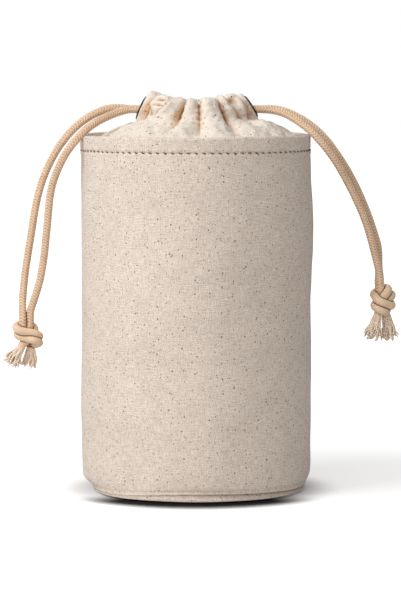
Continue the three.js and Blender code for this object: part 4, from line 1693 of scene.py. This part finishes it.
    def wall(self) -> Piece:
        """Builds the canvas wall, from the seam of the base to the row of stitches.

        Returns:
            The piece.
        """
        s = self.sizes
        bottom, top = s.seam_height + 0.1 * MM, s.hem_bottom + 0.1 * MM
        lip = np.array([(-1.25, 0.35), (-0.8, -0.05), (-0.1, -0.02), (0.34, 0.25), (0.5, 0.7),
                        (0.34, 1.4), (0.1, 2.0)]) * MM
        foot = lip + [s.radius - s.rounding_width + 0.15 * MM, bottom]
        heights = np.concatenate([
            bottom + np.linspace(2.6, 12, 10) * MM, np.linspace(bottom + 16 * MM, top - 5 * MM, 46),
            top - np.array([4, 3.2, 2.5, 1.9, 1.4, 1.0, 0.65, 0.35, 0.1]) * MM])
        outer = self.rounded(s.radius, heights, bottom)
        inner = self.rounded(s.radius - s.canvas, np.linspace(top, bottom + 1.0 * MM, 12), bottom)
        profile = np.vstack([foot, outer, inner])
        counts = [len(foot), len(outer), len(inner)]
        height, face = profile[:, 1:], np.repeat([0.0, 1.0, 0.0], counts)[:, None]
        seam = self.back_seam() * self.wall_seam
        pleats = np.cos(self.pleats * self.angles + 2.2 * np.sin(3 * self.angles))
        wrinkle = self.pleat_height * bell((height - bottom) / self.pleat_reach) * pleats
        press = face * (self.stitch_pull(top - profile[:, 1], self.wall_puff) + seam + wrinkle)
        press = press + smooth(1 - (height - bottom) / self.drawn_reach) * self.drawn_in.at(self.angles)
        drop = smooth(1 - (height - bottom) / self.drop_reach) * self.seam_drop.at(self.angles)
        # Painted shade on the underside of the wall's lip, its lowest three rows.
        tucked = np.concatenate([[1.0, 0.9, 0.3], np.zeros(len(profile) - 3)])
        return self.shell("canvas_wall", profile, np.repeat([0.4, 1.0, 1.0], counts), press, -drop, tucked)

    def hem(self) -> Piece:
        """Builds the hem, folded over at the rim and pulled in by its stitches.

        Returns:
            The piece.
        """
        s = self.sizes
        fold = s.hem_thickness / 2
        outer_radius, inner_radius = s.radius + self.hem_proud, s.radius - s.hem_thickness
        middle, half = (outer_radius + inner_radius) / 2, (outer_radius - inner_radius) / 2
        up = np.array([-0.05, 0.25, 0.55, 0.9, 1.4, 2.0, 2.8, 3.8, 4.8, 5.8, 6.6])
        swell = 1 - np.exp(-up / 1.5)
        outer = np.stack([s.radius - 0.05 * MM + self.hem_proud * swell, s.hem_bottom + up * MM], 1)
        turn = np.linspace(0, math.pi, 13)
        crown = np.stack([middle + half * np.cos(turn), s.height - fold + fold * np.sin(turn)], 1)
        down = np.linspace(s.height - fold - 0.8 * MM, s.hem_bottom, 8)
        inner = np.stack([np.full(8, inner_radius), down], 1)
        profile = np.vstack([outer, crown, inner])
        outward = np.repeat([1.0, 1.0, 0.4], [len(outer), len(crown), len(inner)])
        face = np.concatenate([np.ones(len(outer)), np.cos(turn / 2) ** 0.5, np.zeros(len(inner))])[:, None]
        seam = self.back_seam() * self.hem_seam
        crease = self.hem_crease * self.fine.at(around(self.angles, s.radius, profile[:, 1:] * 0.35))
        press = face * (self.stitch_pull(profile[:, 1] - s.hem_bottom, self.hem_puff) + seam + crease)
        sag = self.hem_sag * Unevenness(48 * MM, 21).at(around(self.angles, s.radius, 0.0))
        share = smooth((profile[:, 1:] - s.hem_bottom) / s.hem_depth)
        return self.shell("rim_hem_fold", profile, outward, press, share * sag)

    def base(self) -> Piece:
        """Builds the base, whose rim turns up to the seam.

        Returns:
            The piece.
        """
        s = self.sizes
        rim = s.radius - s.rounding_width - 0.2 * MM
        flat, corner, edge = rim - 2.0 * s.corner_width, 1.2 * MM, 0.9 * MM
        middle = np.stack([np.linspace(0.5 * MM, flat - 2 * MM, 14), np.zeros(14)], 1)
        slope = np.stack([np.linspace(flat, rim - corner, 8), edge * np.linspace(0, 1, 8) ** 1.4], 1)
        turn = np.linspace(0, math.pi / 2, 8)[1:]
        bend = np.stack([rim - corner + corner * np.sin(turn), edge + corner * (1 - np.cos(turn))], 1)
        lip = np.array([(0.0, 3.4), (-0.05, 4.4), (-0.2, 5.7), (-0.9, 5.8)]) * MM + [rim, 0.0]
        outer = np.vstack([middle, slope, bend, lip])
        ahead = np.gradient(outer, axis=0)
        inward = np.stack([-ahead[:, 1], ahead[:, 0]], 1) / np.linalg.norm(ahead, axis=1)[:, None]
        profile = np.vstack([outer, (outer + s.canvas * inward)[::-1][3:]])
        radius, height = profile[:, :1], profile[:, 1:]
        right, front = np.sin(self.angles), np.cos(self.angles)
        overhang = self.overhang * smooth((right + 0.25) / 0.8) * smooth((front + 0.3) / 0.6)
        drawn = smooth((height - edge) / (3.2 * MM)) * overhang
        drawn = drawn + smooth(radius / rim) * self.drawn_in.at(self.angles)
        points = around(self.angles, radius - drawn, height)
        lift = np.abs(np.clip(self.broad.at(points), -1, 1)) * self.base_lift
        lift = lift * smooth(radius / (30 * MM)) * smooth(1 - height / (5 * MM))
        points[1:, :, 2] += lift[1:]
        points[..., 2] -= smooth(height / s.seam_height) * self.seam_drop.at(self.angles)
        turn = np.linspace(0, TAU, self.columns + 1) + math.pi
        uv = around(turn, arc_lengths(profile)[:, None], 0.0)[..., :2]
        # Painted shade at the top of the base's strip under the wall's lip, strongest at the right front.
        under = smooth((height / MM - 3.7) / 1.6) * (0.45 + 0.55 * overhang / overhang.max())
        return woven("turned_up_base", points, uv, caps=True, values={"tucked": under})

    def lining(self) -> Piece:
        """Builds the loose lining wall with its soft upright wrinkles.

        Returns:
            The piece.
        """
        s = self.sizes
        height = np.linspace(s.seam_height + 0.4 * MM, s.hem_bottom - 0.1 * MM, 40)[:, None]
        wrinkle = Unevenness(16 * MM, 31).at(around(self.angles, s.radius, height * 0.12))
        low = smooth(1 - (height - s.seam_height) / (12 * MM)) * self.drawn_in.at(self.angles)
        radius = s.lining_radius - self.lining_slack + self.lining_wrinkle * wrinkle - low
        points = around(self.angles, radius, height)
        uv = cloth_uv(TAU * s.radius, height[:, 0], self.columns)
        return thicken(woven("lining_wall_cloth", points, uv), self.lining_cloth)

    def lining_floor(self) -> Piece:
        """Builds the lining's round floor with small tucks near its seam.

        Returns:
            The piece.
        """
        radius = np.concatenate([np.linspace(0.5, 54, 18), np.linspace(55.5, 60.6, 6)])[:, None] * MM
        turned_up = smooth((radius - 55 * MM) / (5.6 * MM)) ** 1.5
        height = self.floor_height + self.floor_turn_up * turned_up
        inward = smooth(radius / radius[-1]) * self.drawn_in.at(self.angles)
        points = around(self.angles, radius - inward, height)
        tuck = self.floor_tuck * np.cos(46 * self.angles + 2 * np.sin(5 * self.angles))
        points[..., 2] += np.abs(tuck * smooth((radius - 40 * MM) / (16 * MM)))
        uv = around(np.linspace(0, TAU, self.columns + 1), radius, 0.0)[..., :2]
        return thicken(woven("lining_floor_cloth", points, uv), self.lining_cloth)

    def stitches(self, tree: Tree) -> Piece:
        """Builds the hem's row of stitches.

        Args:
            tree: The tree of a row of stitches.

        Returns:
            The piece.
        """
        s = self.sizes
        turn = np.linspace(0, TAU, 4 * s.stitches, endpoint=False)
        radius = s.radius - 0.02 * MM + self.dents(around(turn, s.radius, s.hem_bottom))
        return run_nodes(ring_line("hem_stitch_row", around(turn, radius, s.hem_bottom - 0.02 * MM)), tree, {
            "Stitches": s.stitches, "Stitch length": 1.65 * MM, "Thread radius": self.thread_radius,
            "Crown": 0.34 * MM, "Slant": -0.42, "Facing": 1.0, "Unevenness": 0.07, "Seed": 3,
            "Material": self.finishes.of["thread"]})

    def build(self, stitch_tree: Tree) -> None:
        """Builds the pouch's pieces.

        Args:
            stitch_tree: The tree of a row of stitches.
        """
        for piece, slot, node in (
                (self.wall(), "canvas", "outer_wall"), (self.hem(), "canvas", "rim_hem"),
                (self.base(), "canvas", "base_panel"), (self.lining(), "lining", "lining_wall"),
                (self.lining_floor(), "lining", "lining_base"),
                (self.stitches(stitch_tree), "thread", "hem_stitching")):
            self.finishes.settle(piece, "pouch", slot, node)
        self.finishes.dress_solid("back_seam_allowance", "canvas")


@dataclass(frozen=True)
class Fold:
    """One gathered fold from the valley where it starts; degrees from the front, and millimetres."""

    top: float
    neck: float
    rim: float
    puff: float
    drape: float
    crown: float
    pinch: float
    skew: float = 1.0


@dataclass(frozen=True)
class Dent:
    """A dent of the channel's outer face: degrees from the front, and millimetres."""

    angle: float
    up: float
    width: float
    height: float
    depth: float


@dataclass(frozen=True)
class Puff:
    """A swelling of the skirt: degrees from the front, share of the way up, and millimetres."""

    angle: float
    width: float
    share: float
    reach: float
    height: float


@dataclass
class Collar:
    """The gathered cloth: a skirt from the rim, and the channel that the cords draw together."""

    sizes: BagSizes
    finishes: Finishes
    thickness: float = 0.75 * MM
    stitch_level: float = -6.6 * MM
    foot_radius: float = 61.2 * MM
    foot_height: float = 191.7 * MM
    valley: float = 3.35 * MM
    turned_in: float = -5.4 * MM
    eyelet_plane: float = 4.5 * MM
    eyelet_flat: float = 7.9 * MM
    hole: float = 6.1 * MM
    skirt_rows: int = 26
    outer_rows: int = 24
    bunching: float = 0.58
    loose_hold: float = 0.22
    bending: float = 5.0
    growth: float = 0.03
    moments: int = 12
    inner_share: float = 0.62
    dent_full: float = 2.6
    rounding_passes: int = 14
    rounding_rows: float = 9.0
    firm_rows: int = 5
    gravity: float = 0.02
    stitch_inset: float = 0.55 * MM
    BUMPS = ((0.26, 9, 41), (0.1, 3.6, 43))
    FOLDS = (
        Fold(-62, -66, -68, 7.4, 1.6, 9.4, 0.35), Fold(-29, -46, -62, 9.4, 2.8, 7.6, 0.05, 0.7),
        Fold(-11, -18, -36, 7.6, 2.4, 7.2, 0.0, 0.9), Fold(3, 3, -2, 9.4, 2.6, 7.6, 0.0, 0.85),
        Fold(25, 31, 31, 7.4, 1.0, 9.2, 0.35), Fold(34, 50, 50, 7.0, 1.0, 10.0, 0.4, 1.2),
        Fold(61, 66, 66, 5.6, 1.2, 9.4, 0.5), Fold(123, 121, 119, 7.8, 2.2, 6.8, 0.3),
        Fold(146, 149, 150, 8.2, 2.6, 6.2, 0.1, 0.8), Fold(163, 161, 158, 8.0, 2.2, 5.8, 0.2),
        Fold(187, 186, 188, 8.6, 2.6, 6.0, 0.1, 1.2), Fold(205, 209, 214, 8.2, 2.2, 6.4, 0.1),
        Fold(228, 228, 226, 7.4, 2.0, 7.2, 0.4), Fold(242, 240, 240, 5.6, 1.2, 11.0, 0.5),
    )
    DENTS = (
        Dent(-54, -1.6, 6.0, 2.6, 4.0), Dent(-43, 5.4, 9.0, 1.1, 2.8), Dent(-44, 2.4, 8.0, 0.9, 2.6),
        Dent(44, 5.2, 6.0, 2.6, 3.0), Dent(-37, -6.4, 9.0, 3.0, 1.5), Dent(-8, -6.4, 5.0, 2.4, 1.2),
        Dent(66, -4.0, 4.0, 2.4, 3.4), Dent(15, 3.0, 3.0, 4.5, 1.1), Dent(-22, 1.0, 3.0, 5.0, 0.6),
        Dent(112, 3.0, 6.0, 2.0, 1.4), Dent(172, 2.0, 4.0, 4.0, 1.0), Dent(218, 3.0, 4.0, 3.0, 1.0),
        Dent(246, 4.0, 5.0, 1.6, 1.2),
    )
    PUFFS = (Puff(62, 20, 0.66, 0.26, 2.8), Puff(112, 13, 0.72, 0.22, 2.0), Puff(-66, 12, 0.76, 0.22, 0.6),
             Puff(-114, 13, 0.74, 0.22, 0.8), Puff(-30, 9, 0.6, 0.3, 1.0))

    def columns(self) -> dict:
        """Numbers of every upright line of the cloth.

        Returns:
            Its angles at the top, the neck and the rim, how far it bulges, and its fold's sizes.
        """
        found = {key: [] for key in ("top", "neck", "rim", "bulge", "puff", "drape", "crown", "pinch")}
        first = self.FOLDS[0]
        ends = [*self.FOLDS[1:], Fold(first.top + 360, first.neck + 360, first.rim + 360, 0, 0, 0, 0)]
        for fold, following in zip(self.FOLDS, ends):
            count = int(22 + (following.neck - fold.neck) * 0.6)
            t = np.arange(count) / count
            bunched = t - self.bunching * np.sin(TAU * t) / TAU
            for key, share in (("top", bunched), ("neck", bunched), ("rim", t)):
                start, end = getattr(fold, key), getattr(following, key)
                found[key].append(np.radians(start + (end - start) * share))
            found["bulge"].append((1 - np.cos(TAU * t ** fold.skew)) / 2)
            for key in ("puff", "drape", "crown", "pinch"):
                found[key].append(np.full(count, getattr(fold, key)))
        made = {key: np.concatenate(parts) for key, parts in found.items()}
        return made | {key: self.softened(made[key], 7) for key in ("crown", "pinch", "drape")}

    @staticmethod
    def softened(row: Array, reach: int) -> Array:
        """A closed row of numbers averaged with its neighbours.

        Args:
            row: The numbers.
            reach: How many neighbours on each side.

        Returns:
            The averages.
        """
        kernel = np.hanning(2 * reach + 3)[1:-1]
        padded = np.concatenate([row[-reach:], row, row[:reach]])
        return np.convolve(padded, kernel / kernel.sum(), "valid")

    def skirt(self, c: dict, out: Array) -> Array:
        """The skirt's rows, from its foot behind the hem to the row of stitches.

        Args:
            c: The columns' numbers.
            out: How far out each column is at the row of stitches.

        Returns:
            Rows by columns by 3.
        """
        s, lean = self.sizes, self.sizes.neck_lean
        share = np.linspace(0, 1, self.skirt_rows)[:, None] ** 0.9
        foot_r, foot_z = self.foot_radius, self.foot_height
        end_r = s.neck_radius + out * math.cos(lean) - self.stitch_level * math.sin(lean)
        end_z = s.neck_height + out * math.sin(lean) + self.stitch_level * math.cos(lean)
        run, rise = foot_r - end_r, end_z - foot_z
        right, left = 0.5 + 0.5 * np.sin(c["neck"]), 0.5 - 0.5 * np.sin(c["neck"])
        front = smooth(1 - c["pinch"] * 1.2)
        corners_r = (foot_r, foot_r - (0.1 + 0.08 * left) * run, end_r + (0.36 - 0.1 * front) * run, end_r)
        corners_z = (foot_z, foot_z + (0.46 - 0.1 * left + 0.06 * right) * rise,
                     end_z + (0.1 * right - 0.02 - 0.42 * front) * rise, end_z)
        weights = ((1 - share) ** 3, 3 * share * (1 - share) ** 2, 3 * share ** 2 * (1 - share), share ** 3)
        radius, height = (sum(w * c for w, c in zip(weights, corners)) for corners in (corners_r, corners_z))
        slope = np.stack([np.gradient(radius, axis=0), np.gradient(height, axis=0)], -1)
        slope /= np.linalg.norm(slope, axis=-1)[..., None]
        lift = c["drape"] * MM * (c["bulge"] - 0.5) * np.sin(math.pi * share ** 1.9) ** 1.2
        for puff in self.PUFFS:
            turn = np.degrees(wrapped(c["rim"] - math.radians(puff.angle))) / puff.width
            lift = lift + puff.height * MM * bell(turn) * bell((share - puff.share) / puff.reach)
        gathered = smooth(share) ** 0.85
        angle = (1 - gathered) * c["rim"] + gathered * c["neck"]
        return around(angle, radius + slope[..., 1] * lift, height - slope[..., 0] * lift)

    def channel(self, c: dict, out: Array, outer: Array) -> tuple:
        """The channel's rows: up its outer layer, over the top and down its inner layer.

        Args:
            c: The columns' numbers.
            out: How far out each column is at the row of stitches.
            outer: How far out its outer layer bulges.

        Returns:
            The points, and the painted shade that the dents give each of them, from 0 to 1.
        """
        inner = self.valley + self.inner_share * (outer - self.valley)
        crown = (c["crown"] - 3.0 * (1 - c["bulge"]) ** 1.5) * MM
        shoulder, low, sewn = 0.35 * crown, self.turned_in + 0.6 * MM, out - 1.0 * MM
        rise = shoulder - self.stitch_level
        rows = [(out + (outer - out) * smooth(share * 1.55), self.stitch_level + rise * share)
                for share in np.linspace(0, 1, 14)[1:]]
        for turn in np.linspace(0, math.pi, 23)[1:]:
            layer = outer if turn <= math.pi / 2 else -inner
            rows.append((layer * abs(math.cos(turn)) ** 0.85,
                         shoulder + (crown - shoulder) * max(math.sin(turn), 0.0) ** 0.9))
        rows += [(-inner * (1 - 0.25 * share ** 4), shoulder + (low - shoulder) * share)
                 for share in np.linspace(0, 1, 9)[1:]]
        rows += [(-0.75 * inner + (sewn + 0.75 * inner) * share, low - 1.8 * MM * share ** 0.8)
                 for share in np.linspace(0, 1, 9)[1:]]
        rows.append((sewn - 0.3 * MM, self.stitch_level - 1.6 * MM))
        outs, ups = (np.stack([np.broadcast_to(value, out.shape) for value in values])
                     for values in zip(*rows))
        angle = c["neck"] + (c["top"] - c["neck"]) * smooth((ups / MM + 6.6) / 13.0)
        # Each dent also paints shade, full from a depth of dent_full.
        dent_shade = np.zeros_like(outs)
        face = slice(self.outer_rows)
        for dent in self.DENTS:
            turn = np.degrees(wrapped(angle[face] - math.radians(dent.angle))) / dent.width
            hollow = bell(turn) * bell((ups[face] / MM - dent.up) / dent.height)
            outs[face] -= dent.depth * MM * hollow
            dent_shade[face] = np.maximum(dent_shade[face], hollow * min(1.0, dent.depth / self.dent_full))
        return self.sizes.neck_point(angle, outs, ups), dent_shade

    def flatten_at_eyelets(self, points: Array) -> Array:
        """Presses the outer layer flat where the eyelets clamp it.

        Args:
            points: Rows by columns by 3, changed in place.

        Returns:
            Rows by columns, false inside the eyelets' holes.
        """
        keep = np.ones(points.shape[:2], bool)
        layer = slice(self.skirt_rows + self.outer_rows + 1)
        for side in Side:
            place = self.sizes.eyelet_frame(side)
            local = (points[layer] - place[:3, 3]) @ place[:3, :3]
            away = np.hypot(local[..., 1], local[..., 2])
            facing = local[..., 0] > 0.5 * MM
            press = (1 - smooth((away - self.eyelet_flat) / (5.0 * MM))) * facing
            local[..., 0] += press * (self.eyelet_plane - local[..., 0])
            points[layer] = local @ place[:3, :3].T + place[:3, 3]
            keep[layer] &= ~((away < self.hole) & facing)
        return keep

    def rounded_stitch_line(self, points: Array, pinch: Array) -> Array:
        """Rounds the crease between the skirt and the channel, most where the cloth isn't pinched.

        Args:
            points: Rows by columns by 3.
            pinch: How pinched each column is.

        Returns:
            The new points.
        """
        rows = np.arange(len(points))[:, None, None]
        near = smooth((self.rounding_rows - np.abs(rows - self.skirt_rows)) / 5.0)
        near = near * smooth(1.15 - 1.3 * pinch)[None, :, None]
        for _ in range(self.rounding_passes):
            points = points + near * (relaxed(points.copy(), 1) - points)
        return points

    def wrinkles(self, points: Array, quiet: Array) -> Array:
        """Adds fine unevenness square to the cloth; quiet is 1 where it stays smooth.

        Args:
            points: Rows by columns by 3.
            quiet: Rows by 1.

        Returns:
            The new points.
        """
        down = np.gradient(points, axis=0)
        across = (np.roll(points, -1, 1) - np.roll(points, 1, 1)) / 2
        normal = np.cross(across, down)
        normal /= np.linalg.norm(normal, axis=-1)[..., None] + 1e-12
        bumps = sum(height * MM * Unevenness(wave * MM, seed).at(points) for height, wave, seed in self.BUMPS)
        return points + normal * (bumps * (1 - quiet))[..., None]

    def held_weights(self, keep: Array) -> Array:
        """How firmly points stay while the cloth relaxes: fully at the foot, eyelets and inner layer.

        Args:
            keep: Rows by columns, false in the eyelets' holes.

        Returns:
            Rows by columns.
        """
        held = np.full(keep.shape, self.loose_hold)
        held[:2] = held[self.skirt_rows + 30:] = 1.0
        near_hole = ~keep
        for _ in range(self.firm_rows):
            moved = [np.roll(near_hole, step, axis) for axis in (0, 1) for step in (1, -1)]
            near_hole = np.any([near_hole, *moved], 0)
        held[near_hole] = 1.0
        return held

    def relax(self, piece: Piece) -> None:
        """Lets the cloth buckle into small wrinkles, as gathered cloth that is too long for its place.

        Args:
            piece: The cloth.
        """
        held = np.zeros(len(piece.data.vertices))
        piece.data.attributes["held"].data.foreach_get("value", held)
        group = piece.vertex_groups.new(name="held")
        for level in np.unique(held):
            group.add(np.nonzero(held == level)[0].tolist(), float(level), "REPLACE")
        cloth = piece.modifiers.new("relax", "CLOTH")
        for key, value in {
                "quality": 5, "mass": 0.1, "air_damping": 3.0, "tension_stiffness": 30.0,
                "compression_stiffness": 30.0, "shear_stiffness": 10.0, "bending_stiffness": self.bending,
                "vertex_group_mass": group.name, "pin_stiffness": 1.0, "shrink_min": -self.growth}.items():
            setattr(cloth.settings, key, value)
        cloth.settings.effector_weights.gravity = self.gravity
        cloth.collision_settings.use_collision = False
        scene = bpy.context.scene
        for moment in range(1, self.moments + 1):
            scene.frame_set(moment)
        plain_mesh(piece)
        scene.frame_set(1)

    def cloth(self) -> tuple:
        """Builds the whole gathered cloth as one sheet.

        Returns:
            The cloth, its area, and the line of the stitches on its inner layer.
        """
        c = self.columns()
        outer = self.valley + (c["puff"] * MM - self.valley) * c["bulge"]
        out = c["pinch"] * 0.9 * MM + (1 - c["pinch"]) * 0.97 * outer
        skirt = self.skirt(c, out)
        channel, dent_shade = self.channel(c, out, outer)
        points = self.rounded_stitch_line(np.vstack([skirt, channel]), c["pinch"])
        climb = np.linspace(0, 1, self.skirt_rows)
        quiet = np.concatenate([1 - smooth(climb * 3), np.zeros(len(channel))])[:, None]
        points = self.wrinkles(points, quiet)
        keep = self.flatten_at_eyelets(points)
        # Painted shade: fold valleys and dents get a share from 0 to 1, kept as the fold mark, which the
        # collar's material darkens.
        fade = np.concatenate([0.15 + 0.6 * climb ** 1.5, np.ones(13), np.linspace(1.0, 0.5, 11),
                               np.full(len(channel) - self.outer_rows, 0.8)])
        dent_shade = np.vstack([np.zeros_like(skirt[..., 0]), dent_shade])
        shade = np.maximum((1 - c["bulge"]) * fade[:, None], dent_shade)
        uv = cloth_uv(TAU * self.foot_radius, arc_lengths(points).mean(1), points.shape[1])
        values = {"fold": shade, "held": self.held_weights(keep)}
        piece = woven("gathered_collar", points, uv, values=values, keep=keep)
        self.relax(piece)
        area = sum(p.area for p in piece.data.polygons)
        return thicken(piece, self.thickness), area, points[-3]

    def build(self, stitch_tree: Tree) -> None:
        """Builds the cloth and the stitches of its channel.

        Args:
            stitch_tree: The tree of a row of stitches.
        """
        piece, area, line = self.cloth()
        self.finishes.settle(piece, "", "collar_cloth", "collar_skirt", "drawstring_casing")
        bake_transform(piece)
        width = TAU * self.foot_radius
        max(0.05, 1.02 * area / width)
        inward = line * [1.0, 1.0, 0.0]
        line = line - inward / np.linalg.norm(inward, axis=1)[:, None] * self.stitch_inset
        row = run_nodes(ring_line("channel_stitch_row", line), stitch_tree, {
            "Stitches": 64, "Stitch length": 3.0 * MM, "Thread radius": 0.3 * MM, "Crown": 0.3 * MM,
            "Slant": -0.15, "Facing": -1.0, "Unevenness": 0.08, "Seed": 5,
            "Material": self.finishes.of["thread"]})
        self.finishes.settle(row, "neck", "thread", "casing_stitching")


@dataclass
class Eyelets:
    """The two plated eyelets: a rolled flange outside and a barrel through the cloth."""

    sizes: BagSizes
    finishes: Finishes
    bore: float = 5.0 * MM
    wall: float = 0.5 * MM
    flange: float = 7.0 * MM
    seat: float = 5.1 * MM
    face: float = 6.05 * MM
    tail: float = 2.75 * MM
    roll: float = 0.45 * MM
    segments: int = 72

    def eyelet(self, side: Side) -> Piece:
        """Builds one eyelet.

        Args:
            side: Its side.

        Returns:
            The piece.
        """
        outer, edge = self.bore + self.wall, (self.face - self.seat) / 2
        middle = self.seat + edge
        profile = np.array([
            (self.bore, self.tail), (outer, self.tail), (outer, self.seat - 0.15 * MM),
            (outer + 0.25 * MM, self.seat),
            *((self.flange - edge + edge * math.cos(t), middle + edge * math.sin(t))
              for t in np.linspace(-math.pi / 2, math.pi / 2, 9)),
            (outer + 0.6 * MM, self.face + 0.12 * MM), (outer + 0.2 * MM, self.face + 0.08 * MM),
            *((self.bore + self.roll * (1 - math.sin(t)), self.face - 0.4 * MM * (1 - math.cos(t)))
              for t in np.linspace(0.3, math.pi / 2, 5))])
        turn = np.linspace(0, TAU, self.segments, endpoint=False)
        radius, out = profile[:, :1], profile[:, 1:]
        local = np.stack(np.broadcast_arrays(out, radius * np.cos(turn), radius * np.sin(turn)), -1)
        place = self.sizes.eyelet_frame(side)
        uv = cloth_uv(TAU * self.flange, arc_lengths(np.vstack([profile, profile[:1]])), self.segments)
        return woven(f"{side.word}_rolled_eyelet", local @ place[:3, :3].T + place[:3, 3], uv, wrap_rows=True)

    def build(self) -> None:
        """Builds both eyelets and dresses their washers."""
        for side in Side:
            self.finishes.settle(self.eyelet(side), "neck", "eyelet_metal", f"{side.word}_eyelet")
            self.finishes.dress_solid(f"{side.word}_eyelet_washer", "eyelet_metal")


def main() -> None:
    """Builds the studio and every sub-assembly in order."""
    logging.basicConfig(level=logging.INFO, format="%(name)s: %(message)s")
    sizes = BagSizes()
    Studio().build()
    finishes = Finishes()
    stitch_tree = stitch_row_tree()
    Drawcords(sizes, finishes).build()
    Pouch(sizes, finishes).build(stitch_tree)
    Collar(sizes, finishes).build(stitch_tree)
    Eyelets(sizes, finishes).build()


if __name__ == "__main__":
    main()
